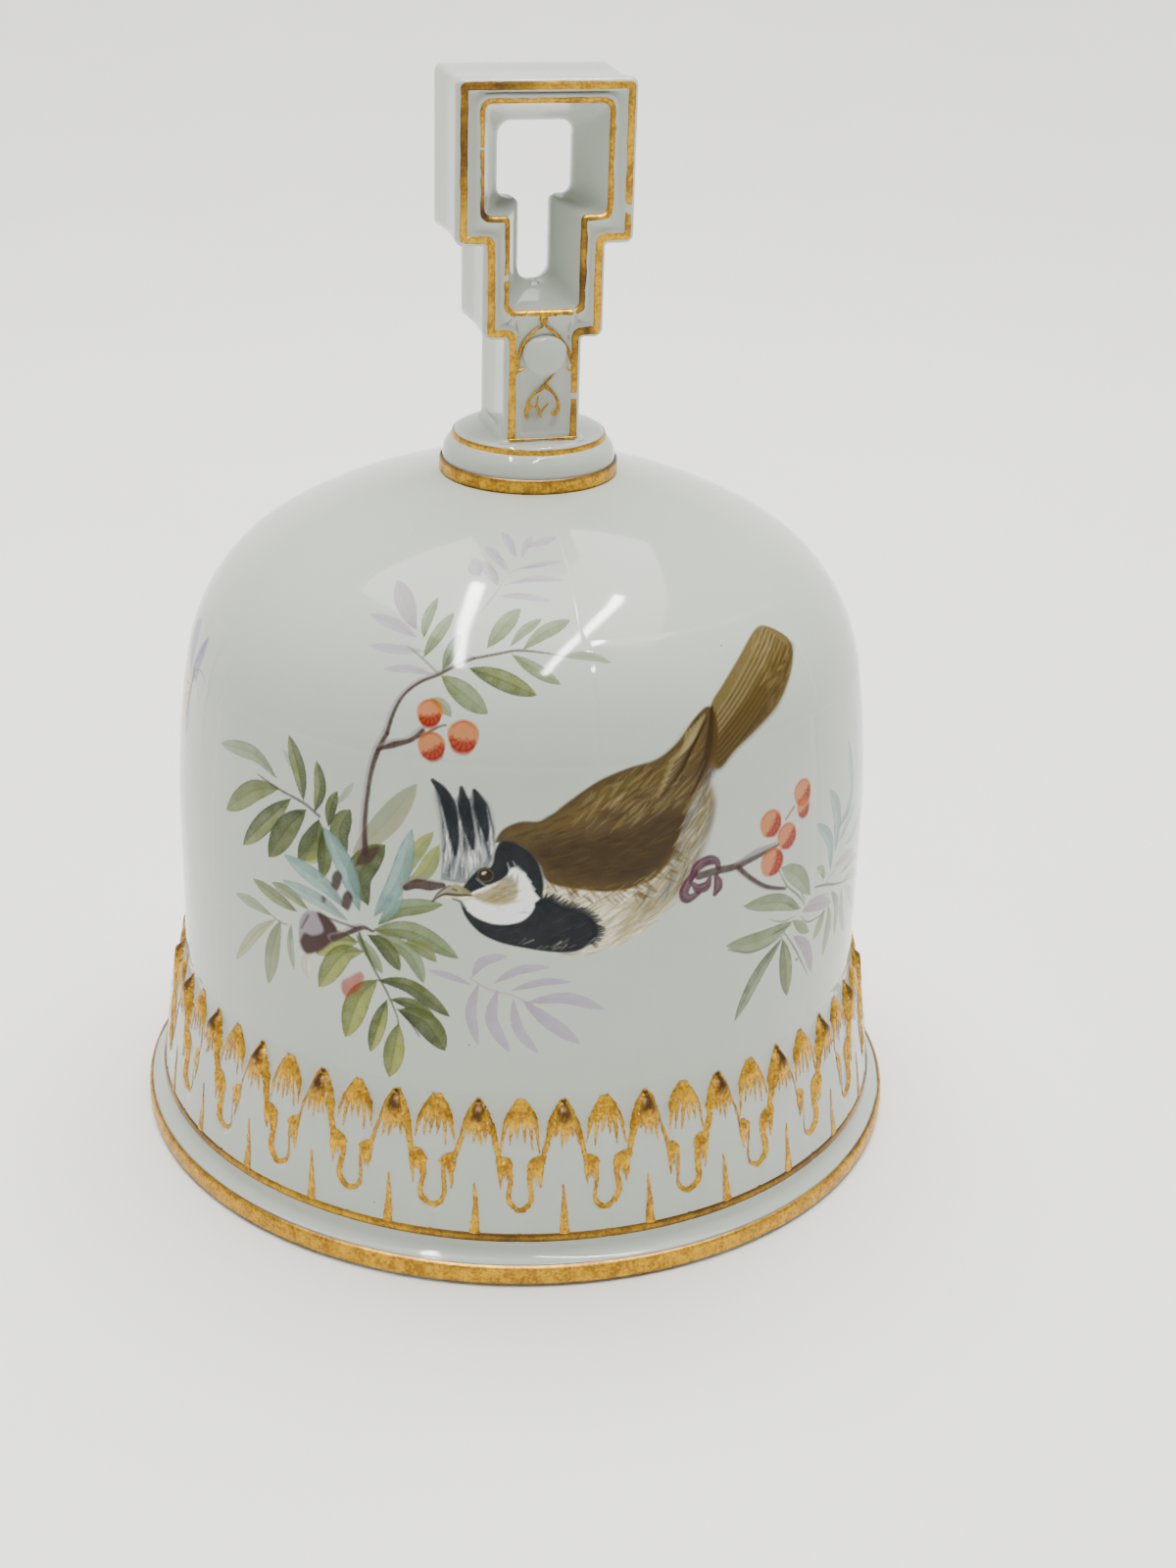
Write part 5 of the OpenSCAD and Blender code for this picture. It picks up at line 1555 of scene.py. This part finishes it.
@dataclass
class Handle:
    """The slip-cast handle: three stepped blocks with a stepped window through the upper two."""

    depth: float = 12.4
    foot_z: float = 82.4
    mid_z: float = 93.5
    top_z: float = 103.4
    head_z: float = 120.4
    halves: tuple[float, float, float] = (4.2, 6.55, 9.6)
    window_z: tuple[float, float, float] = (96.55, 106.45, 117.9)
    window_halves: tuple[float, float] = (3.9, 6.65)
    waist_z: tuple[float, float, float] = (98.55, 107.45, 115.5)
    waist_halves: tuple[float, float] = (1.9, 4.25)
    edge: float = 0.8
    steps: tuple[int, ...] = (10, 16, 6, 12, 5, 14, 8)
    corner_steps: int = 5

    def outer(self, inset: float) -> Corners:
        """Right half of the outside, inset millimetres in, and the roundness of each corner."""
        n, m, t = (h - inset for h in self.halves)
        low = self.foot_z
        points = [(0.0, self.head_z - inset), (t, self.head_z - inset), (t, self.top_z + inset),
            (m, self.top_z + inset), (m, self.mid_z + inset), (n, self.mid_z + inset), (n, low), (0.0, low)]
        out, fold = max(0.9 - inset, 0.15), 0.35 + 0.6 * inset
        return points, [0.0, out, out, fold, out, fold, 0.3, 0.0]

    def inner(self, grow: float) -> Corners:
        """Right half of the window's edge, grown by grow millimetres, matched corner to corner."""
        low, step, high = self.window_z
        low, step, high = low - grow, step - grow, high + grow
        n, m = self.window_halves[0] + grow, self.window_halves[1] + grow
        points = [(0.0, high), (m, high), (m, step), (n, step), (n, low), (0.67 * n, low), (0.33 * n, low),
            (0.0, low)]
        turn, fold = 0.9 + 0.5 * grow, max(0.6 - grow, 0.2)
        return points, [0.0, turn, turn, fold, turn, 0.3, 0.3, 0.0]

    def waist(self, grow: float) -> Corners:
        """Right half of the window's narrowest place."""
        low, step, high = self.waist_z
        low, high = low - grow, high + grow
        n, m = self.waist_halves[0] + grow, self.waist_halves[1] + grow
        points = [(0.0, high), (m, high), (m, step), (n, step), (n, low), (0.14 * n, low), (0.07 * n, low),
            (0.0, low)]
        return points, [0.0, 1.5, 1.2, 0.7, 1.55, 0.05, 0.05, 0.0]

    def loop(self, shape: Corners) -> Array:
        """A whole loop with rounded corners, clockwise from the top as the front shows it.

        Each corner is an arc that touches both its sides, and each side is cut into its own fixed number of
        steps, so loops of different sizes match point by point. The left half mirrors the right.

        Args:
            shape: Corners of the right half and the roundness of each.

        Returns:
            Points of x and z.
        """
        corners, rounds = np.array(shape[0]), shape[1]
        half: list[Array] = []
        last = corners[0]
        for k in range(1, 8):
            corner, size = corners[k], rounds[k]
            enter = corner
            if k < 7:
                back = (corners[k - 1] - corner) / np.linalg.norm(corners[k - 1] - corner)
                ahead = (corners[k + 1] - corner) / np.linalg.norm(corners[k + 1] - corner)
                enter, leave = corner + back * size, corner + ahead * size
                centre = corner + (back + ahead) * size
                t = np.linspace(0.0, 0.5 * math.pi, self.corner_steps + 1)[:, None]
                arc = centre + (enter - centre) * np.cos(t) + (leave - centre) * np.sin(t)
            side = last + (enter - last) * np.linspace(0.0, 1.0, self.steps[k - 1] + 1)[:, None]
            half.append(side[:-1])
            if k < 7:
                half.append(arc[:-1])
                last = arc[-1]
        half.append(corners[7][None])
        right = np.concatenate(half)
        left = right[1:-1][::-1] * np.array([-1.0, 1.0])
        return np.concatenate([right, left])

    def surface(self) -> Array:
        """The whole handle as one ring-shaped grid, from the window's waist round the front to the back.

        Each row is a loop at its own depth. The window narrows from its front edge to the waist along a
        hollow curve, the front face has a shallow channel between its two raised edges, the outside corner is
        a quarter round and the side falls in to a faint crease half-way back.

        Returns:
            A grid that wraps both ways.
        """
        front = -0.5 * self.depth
        throat = [self.loop(self.waist(g)) for g in (-0.1, -0.05, 0.35)]
        rows = [(throat[0], 0.0), (throat[1], -1.0), (throat[2], -1.6)]
        mouth = self.loop(self.inner(-0.12))
        for t in (0.2, 0.4, 0.6, 0.8):
            bend = t + 0.35 * t * (1.0 - t)
            rows.append((throat[2] + (mouth - throat[2]) * bend, -1.6 + (front + 0.55 + 1.6) * t))
        edge = self.edge
        face = [(self.inner(-0.06), 0.5), (self.inner(0.0), 0.22), (self.inner(0.12), 0.06),
            (self.inner(0.3), 0.0), (self.inner(0.62), 0.0), (self.inner(0.85), 0.14),
            (self.inner(1.05), 0.38), (self.outer(1.55), 0.38), (self.outer(1.25), 0.12),
            (self.outer(1.05), 0.0), (self.outer(edge), 0.0)]
        turns = np.linspace(0.0, 0.5 * math.pi, 6)[1:]
        face += [(self.outer(edge * (1.0 - math.sin(a))), edge * (1.0 - math.cos(a))) for a in turns]
        rows += [(self.loop(shape), front + back) for shape, back in face]
        rows += [(self.loop(self.outer(g)), y) for g,
            y in ((0.1, -4.2), (0.17, -2.4), (0.21, -1.0), (0.26, 0.0))]
        grid = np.stack([np.insert(p, 1, y, axis=1) for p, y in rows])
        back = grid[1:-1][::-1] * np.array([1.0, -1.0, 1.0])
        return np.concatenate([grid, back])

    def gold_line(self, work: Patchwork, grid: Array, rows: tuple[int, ...], seed: int, mirror: bool) -> None:
        """A gold line that follows some rows of the handle's grid, lifted off them, its edges wandering.

        Args:
            work: The mesh it joins.
            grid: The handle's surface.
            rows: The rows that it covers, from its inner edge to its outer one.
            seed: Seed of the wander.
            mirror: Whether it lies on the back.
        """
        sure = lifted(grid, 0.05)[rows[0]:rows[-1] + 1].copy()
        count = sure.shape[1]
        angle = turns(count)
        fine = np.random.default_rng(seed).normal(0.0, 0.1, (2, count))
        low = np.clip(0.45 + 0.3 * wobble(angle, seed, (3, 8, 17, 31)) + fine[0], 0.0, 1.0)[:, None]
        high = np.clip(0.45 + 0.3 * wobble(angle, seed + 1, (4, 9, 19, 37)) + fine[1], 0.0, 1.0)[:, None]
        sure[0] = sure[0] + (sure[1] - sure[0]) * low
        sure[-1] = sure[-1] + (sure[-2] - sure[-1]) * high
        edge = np.zeros((len(sure), 1))
        edge[0], edge[-1] = 0.6, 0.45
        cover = np.clip(edge + 0.12 + 1.1 * wobble(angle, seed + 2, (2, 5, 11, 23, 47)), 0.0, 0.95)
        worn = smooth_step(wobble(angle, seed + 3, (7, 19, 41, 83)), 0.52, 0.95)[:, None]
        sure += (grid[rows[0]:rows[-1] + 1] - lifted(grid, 0.1)[rows[0]:rows[-1] + 1]) * worn
        tint = gilt(cover)
        if mirror:
            sure, tint = (sure * np.array([1.0, -1.0, 1.0]))[::-1], tint[::-1]
        work.grid(sure, tint, wrap_cols=True)

    def build(self, paints: Paints) -> None:
        """Builds the handle's body and the two gold lines on each of its faces."""
        grid = self.surface()
        body = Patchwork("handle_body")
        body.grid(grid, wrap_cols=True, wrap_rows=True)
        body.build("bell", Slot.PORCELAIN.value, paints.porcelain, ("handle_frame",))
        gold = Patchwork("handle_gilding")
        for seed, mirror in ((41, False), (51, True)):
            self.gold_line(gold, grid, (7, 8, 9, 10, 11), seed, mirror)
            self.gold_line(gold, grid, (15, 16, 17, 18, 19), seed + 5, mirror)
        gold.build("bell", Slot.GOLD.value, paints.gold)
        self.slip_fillet(paints)

    def slip_fillet(self, paints: Paints) -> None:
        """The roll of slip that joins the neck to its stand: a hollow quarter curve carried round the neck."""
        n, d, turn = self.halves[0] - 0.05, 0.5 * self.depth - 0.25, 0.7
        corners = [(n, d), (-n, d), (-n, -d), (n, -d)]
        loop: list[Array] = []
        for k, (x, y) in enumerate(corners):
            a = 0.5 * math.pi * k
            loop.append(arc_points(x - math.copysign(turn, x), y - math.copysign(turn, y), turn, a,
                a + 0.5 * math.pi, 6))
        around = np.concatenate(loop)
        around = np.concatenate([np.linspace(around[k], around[(k + 1) % len(around)],
            6)[:-1] if np.linalg.norm(around[k]
            - around[(k + 1) % len(around)]) > 1.5 else around[k][None] for k in range(len(around))])
        ahead = np.roll(around, -1, 0) - np.roll(around, 1, 0)
        out = np.stack([ahead[:, 1], -ahead[:, 0]], -1) / np.linalg.norm(ahead, axis=1, keepdims=True)
        t = np.linspace(0.0, 0.5 * math.pi, 8)
        reach = np.minimum(0.95, 7.95 - np.hypot(around[:, 0], around[:, 1]))[:, None]
        reach = np.clip(reach, 0.05, None)
        rows = [np.concatenate([around + out * reach * (1.0 - np.sin(a)),
            np.full((len(around), 1), self.foot_z - 0.03 + 1.0 * (1.0 - math.cos(a)))], 1) for a in t]
        foot = np.concatenate([around * 0.9, np.full((len(around), 1), self.foot_z - 0.2)], 1)
        top = np.concatenate([around * 0.9, np.full((len(around), 1), self.foot_z + 1.0)], 1)
        fillet = Patchwork("neck_slip")
        fillet.grid(np.stack([foot, *rows, top]), wrap_cols=True, wrap_rows=True)
        fillet.build("bell", Slot.PORCELAIN.value, paints.porcelain)


def lifted(grid: Array, distance: float) -> Array:
    """A ring-shaped grid moved out along its normals, each the cross product of its two directions."""
    along = np.roll(grid, -1, 1) - np.roll(grid, 1, 1)
    up = np.roll(grid, -1, 0) - np.roll(grid, 1, 0)
    normal = np.cross(along, up)
    return grid + distance * normal / np.maximum(np.linalg.norm(normal, axis=-1, keepdims=True), 1e-9)


@dataclass
class NeckOrnament:
    """The domed boss on each broad face of the neck, its gilt arch and knob, and the small tulip below."""

    face_y: float = -6.2
    boss_x: float = 2.45
    boss_z: float = 2.2
    boss_h: float = 0.9
    middle: tuple[float, float] = (0.15, 92.0)
    proud: float = 0.16
    strokes: tuple[tuple[Points, list[float], float], ...] = (
        ([(-0.1, 96.0), (-0.1, 95.6), (-0.05, 95.2)], [0.9, 0.85, 0.7], 0.35),
        ([(-2.9, 89.9), (-2.85, 91.0), (-2.55, 92.4), (-1.9, 93.6), (-0.8, 94.6), (0.0, 95.0)],
         [0.35, 0.45, 0.4, 0.35, 0.3, 0.3], proud),
        ([(0.1, 95.0), (0.9, 94.4), (1.9, 93.4), (2.7, 92.3), (3.15, 91.0), (3.3, 90.0)],
         [0.3, 0.35, 0.35, 0.35, 0.45, 0.35], proud),
        ([(-3.3, 90.0), (-2.6, 90.2), (-2.0, 90.45)], [0.4, 0.4, 0.15], proud),
        ([(3.5, 89.8), (3.0, 90.1), (2.5, 90.35)], [0.35, 0.35, 0.15], proud),
        ([(1.4, 90.0), (0.8, 89.3), (0.3, 88.8), (0.15, 88.2)], [0.15, 0.25, 0.3, 0.6], proud),
        ([(0.15, 88.5), (-0.3, 88.0), (-0.9, 87.7), (-1.5, 87.0), (-1.75, 86.0), (-1.75, 84.9)],
         [0.5, 0.35, 0.3, 0.35, 0.5, 0.35], proud),
        ([(0.15, 88.5), (0.7, 88.1), (1.3, 87.5), (1.75, 86.6), (1.8, 85.9), (1.3, 85.2), (0.85, 85.6)],
         [0.5, 0.35, 0.3, 0.35, 0.5, 0.4, 0.15], proud),
        ([(-1.5, 85.9), (-0.9, 86.4), (-0.5, 86.1), (-0.2, 85.0)], [0.2, 0.25, 0.3, 0.4], proud),
        ([(-0.5, 87.4), (-0.65, 86.6), (-0.5, 86.0)], [0.15, 0.22, 0.2], proud),
        ([(-0.1, 85.6), (0.3, 86.2), (0.75, 86.6)], [0.2, 0.22, 0.15], proud),
        ([(-3.9, 82.75), (0.0, 82.7), (3.9, 82.75)], [0.3, 0.2, 0.35], 0.55))

    def boss(self, work: Patchwork) -> None:
        """An egg-shaped dome: its height falls from the middle as the square root of 1 - r^2."""
        angle = turns(72)
        turn = np.linspace(0.0, 0.5 * math.pi, 14)[:, None]
        share = np.cos(turn)
        x = self.middle[0] + self.boss_x * share * np.cos(angle)
        z = self.middle[1] - self.boss_z * share * np.sin(angle) * (1.0 + 0.12 * np.sin(angle))
        y = self.face_y + 0.4 - (self.boss_h + 0.35) * np.sin(turn) ** 0.8 + 0.0 * angle
        grid = np.stack([x, y, z], -1)[:, ::-1]
        back = grid[:1] * np.array([1.0, 0.0, 1.0]) + np.array([0.0, self.face_y + 0.6, 0.0])
        centre = np.repeat(np.array([[[self.middle[0], self.face_y + 0.6, self.middle[1]]]]), 72, 1)
        work.grid(np.concatenate([centre, back, grid]), wrap_cols=True, start_pole=True, end_pole=True)

    def stroke(self, work: Patchwork, points: Points, widths: list[float], seed: int, proud: float) -> None:
        """A raised brush stroke on the face: a round section carried along a smoothed path.

        Args:
            work: The mesh it joins.
            points: Path points of x and z.
            widths: Full width at each point.
            seed: Seed of its darker places.
            proud: How far its middle stands off the neck's panel.
        """
        line, t = np.array(points), np.arange(len(points))
        fine = np.linspace(0.0, len(points) - 1, 10 * len(points))
        path = np.stack([np.interp(fine, t, line[:, 0]), 0.0 * fine + self.face_y + 0.3 - proud,
            np.interp(fine, t, line[:, 1])], -1)
        for _ in range(12):
            for k in (0, 2):
                path[1:-1, k] = np.convolve(path[:, k], SOFTENER, "valid")
        rng = np.random.default_rng(seed)
        wide = 0.5 * np.interp(fine, t, widths) * (1.0 + rng.normal(0.0, 0.06, len(fine)))
        wide[0] *= 0.3
        wide[-1] *= 0.3
        grid = tube(path, wide, 8)
        middle = path[:, None, 1]
        grid[..., 1] = middle + (grid[..., 1] - middle) * 0.55
        tint = gilt(np.clip(rng.normal(0.25, 0.22, grid.shape[:2]), 0.0, 0.9))
        ends = [np.repeat(np.mean(grid[k], 0)[None, None], 8, 1) for k in (0, -1)]
        full = np.concatenate([ends[0], grid, ends[1]])
        tint = np.concatenate([tint[:1], tint, tint[-1:]])
        work.grid(full, tint, wrap_cols=True, start_pole=True, end_pole=True)

    def build(self, paints: Paints) -> None:
        """Builds both faces' bosses and gilt ornaments; the back is the front turned half round."""
        for side, node, seed in (("front", "front_boss", 60), ("back", "back_boss", 80)):
            boss = Patchwork(side + "_boss_dome")
            self.boss(boss)
            gold = Patchwork(side + "_neck_gilding")
            for k, (points, widths, proud) in enumerate(self.strokes):
                self.stroke(gold, points, widths, seed + k, proud)
            if side == "back":
                for work in (boss, gold):
                    work.points = [p * np.array([-1.0, -1.0, 1.0]) for p in work.points]
            boss.build("bell", Slot.PORCELAIN.value, paints.porcelain, (node,))
            gold.build("bell", Slot.GOLD.value, paints.gold)


# ---------------------------------------------------------------- clapper


@dataclass
class Clapper:
    """The porcelain lug in the crown and what hangs from it: brass ring, wire and washers, and a porcelain ball."""

    porcelain_nodes: tuple[str, ...] = ("crown_lug", "clapper_ball")
    brass_nodes: tuple[str, ...] = ("hanging_ring", "clapper_wire", "upper_washer", "lower_washer")

    def build(self, paints: Paints) -> None:
        """Gives the CAD nodes their finishes, since their shapes are already right."""
        for names, material in ((self.porcelain_nodes, paints.porcelain), (self.brass_nodes, paints.brass)):
            for name in names:
                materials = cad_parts[name].data.materials
                materials.clear()
                materials.append(material)
                log.info("%s: %s", name, material.name)


# ---------------------------------------------------------------- studio


@dataclass
class Studio:
    """The pale sweep, the soft lights and the camera."""

    lens: float = 53.95
    height: float = 153.69
    distance: float = 252.6
    tilt: float = 0.425869
    pan: float = 0.027936
    roll: float = 0.018310
    turn: float = -0.236933
    sweep: float = 1500.0
    hole: float = 40.6
    tone: str = "#FFFEFA"

    def camera(self) -> None:
        """Places the camera: down by tilt, right by pan, rolled, then turned about the bell's axis."""
        c, s = math.cos(self.tilt), math.sin(self.tilt)
        ahead, up, right = np.array([0.0, c, -s]), np.array([0.0, s, c]), np.array([1.0, 0.0, 0.0])
        forward = ahead * math.cos(self.pan) + right * math.sin(self.pan)
        right = right * math.cos(self.pan) - ahead * math.sin(self.pan)
        across = right * math.cos(self.roll) + up * math.sin(self.roll)
        above = up * math.cos(self.roll) - right * math.sin(self.roll)
        a, b = math.cos(self.turn), math.sin(self.turn)
        yaw = np.array([[a, -b, 0.0], [b, a, 0.0], [0.0, 0.0, 1.0]])
        place = np.eye(4)
        place[:3, :3] = yaw @ np.stack([across, above, -forward], 1)
        place[:3, 3] = yaw @ np.array([0.0, -self.distance, self.height]) * MM
        lens = bpy.data.cameras.new("camera")
        lens.lens, lens.sensor_width, lens.sensor_fit = self.lens, 36.0, "AUTO"
        lens.clip_start, lens.clip_end = 0.01, 20.0
        camera = bpy.data.objects.new("camera", lens)
        bpy.context.scene.collection.objects.link(camera)
        camera.matrix_world = Matrix(place.tolist())
        bpy.context.scene.camera = camera

    def panel(self, name: str, place: tuple[float, float, float], aim: tuple[float, float, float],
              along: tuple[float, float, float], size: tuple[float, float], power: float,
              spreads: bool = True) -> None:
        """A soft rectangular light.

        Args:
            name: Its name.
            place: Where it hangs, in millimetres.
            aim: What it points at.
            along: The direction of its second side.
            size: Length of its first and second side in millimetres.
            power: Watts.
            spreads: Whether it lights matt surfaces too, or only shows in glossy ones.
        """
        lamp = bpy.data.lights.new(name, "AREA")
        lamp.shape, lamp.size, lamp.size_y = "RECTANGLE", size[0] * MM, size[1] * MM
        lamp.energy, lamp.color = power, linear(self.tone)[:3]
        piece = bpy.data.objects.new(name, lamp)
        piece.visible_diffuse = spreads
        bpy.context.scene.collection.objects.link(piece)
        back = (Vector(place) - Vector(aim)).normalized()
        across = Vector(along).cross(back).normalized()
        turn = Matrix((across, back.cross(across), back)).transposed()
        piece.matrix_world = Matrix.Translation(Vector(place) * MM) @ turn.to_4x4()

    def build(self) -> None:
        """Builds the sweep, the world, the lights and the camera.

        The sweep is a dished floor with a hole hidden under the bell, so that its inside shows from beneath.
        """
        rings = np.geomspace(self.hole, self.sweep, 32)[:, None]
        angle = turns(96)
        rise = 0.9 * np.clip(rings - 500.0, 0.0, None) ** 2 / self.sweep
        grid = np.stack([rings * np.cos(angle), rings * np.sin(angle), rise + 0.0 * angle], -1)
        work = Patchwork("paper_sweep")
        work.grid(grid[::-1], wrap_cols=True)
        points, faces = np.concatenate(work.points) * MM, work.quads + work.tris
        mesh = bpy.data.meshes.new(work.name)
        mesh.from_pydata(points.tolist(), [], [row for part in faces for row in part.tolist()])
        mesh.polygons.foreach_set("use_smooth", np.ones(len(mesh.polygons), bool))
        mesh.materials.append(PaperSweep("photographers_paper").make())
        floor = bpy.data.objects.new(work.name, mesh)
        bpy.context.scene.collection.objects.link(floor)
        world = bpy.data.worlds.new("studio")
        bpy.context.scene.world = world
        world.use_nodes = True
        world.node_tree.nodes["Background"].inputs["Color"].default_value = linear("#E9ECEC")
        world.node_tree.nodes["Background"].inputs["Strength"].default_value = 0.12
        self.panel("overhead", (60.0, 160.0, 1000.0), (0.0, 40.0, 0.0), (0.0, 1.0, 0.0), (950.0, 950.0), 34.0)
        self.panel("tube_left", (-166.0, -22.0, 690.0), (0.0, 0.0, 60.0), (235.0, 503.0, 59.0),
            (30.0, 560.0), 14.0, False)
        self.panel("tube_right", (110.0, -126.0, 682.0), (0.0, 0.0, 60.0), (279.0, 552.0, 42.0),
            (24.0, 610.0), 12.0, False)
        self.camera()


def main() -> None:
    """Builds the bell from its shell outwards and then the studio."""
    logging.basicConfig(level=logging.INFO, format="%(name)s: %(message)s")
    paints = Paints(GlazedPorcelain("glazed_porcelain").make(),
        EnamelPainting("enamel_on_porcelain").make(), BurnishedGold("burnished_gold").make(),
        DrawnBrass("drawn_brass").make())
    bell = Bell()
    bell.build(paints)
    Gilding(bell).build(paints)
    Painting(bell).build(paints)
    Collar().build(paints)
    Handle().build(paints)
    NeckOrnament().build(paints)
    Clapper().build(paints)
    Studio().build()


if __name__ == "__main__":
    main()
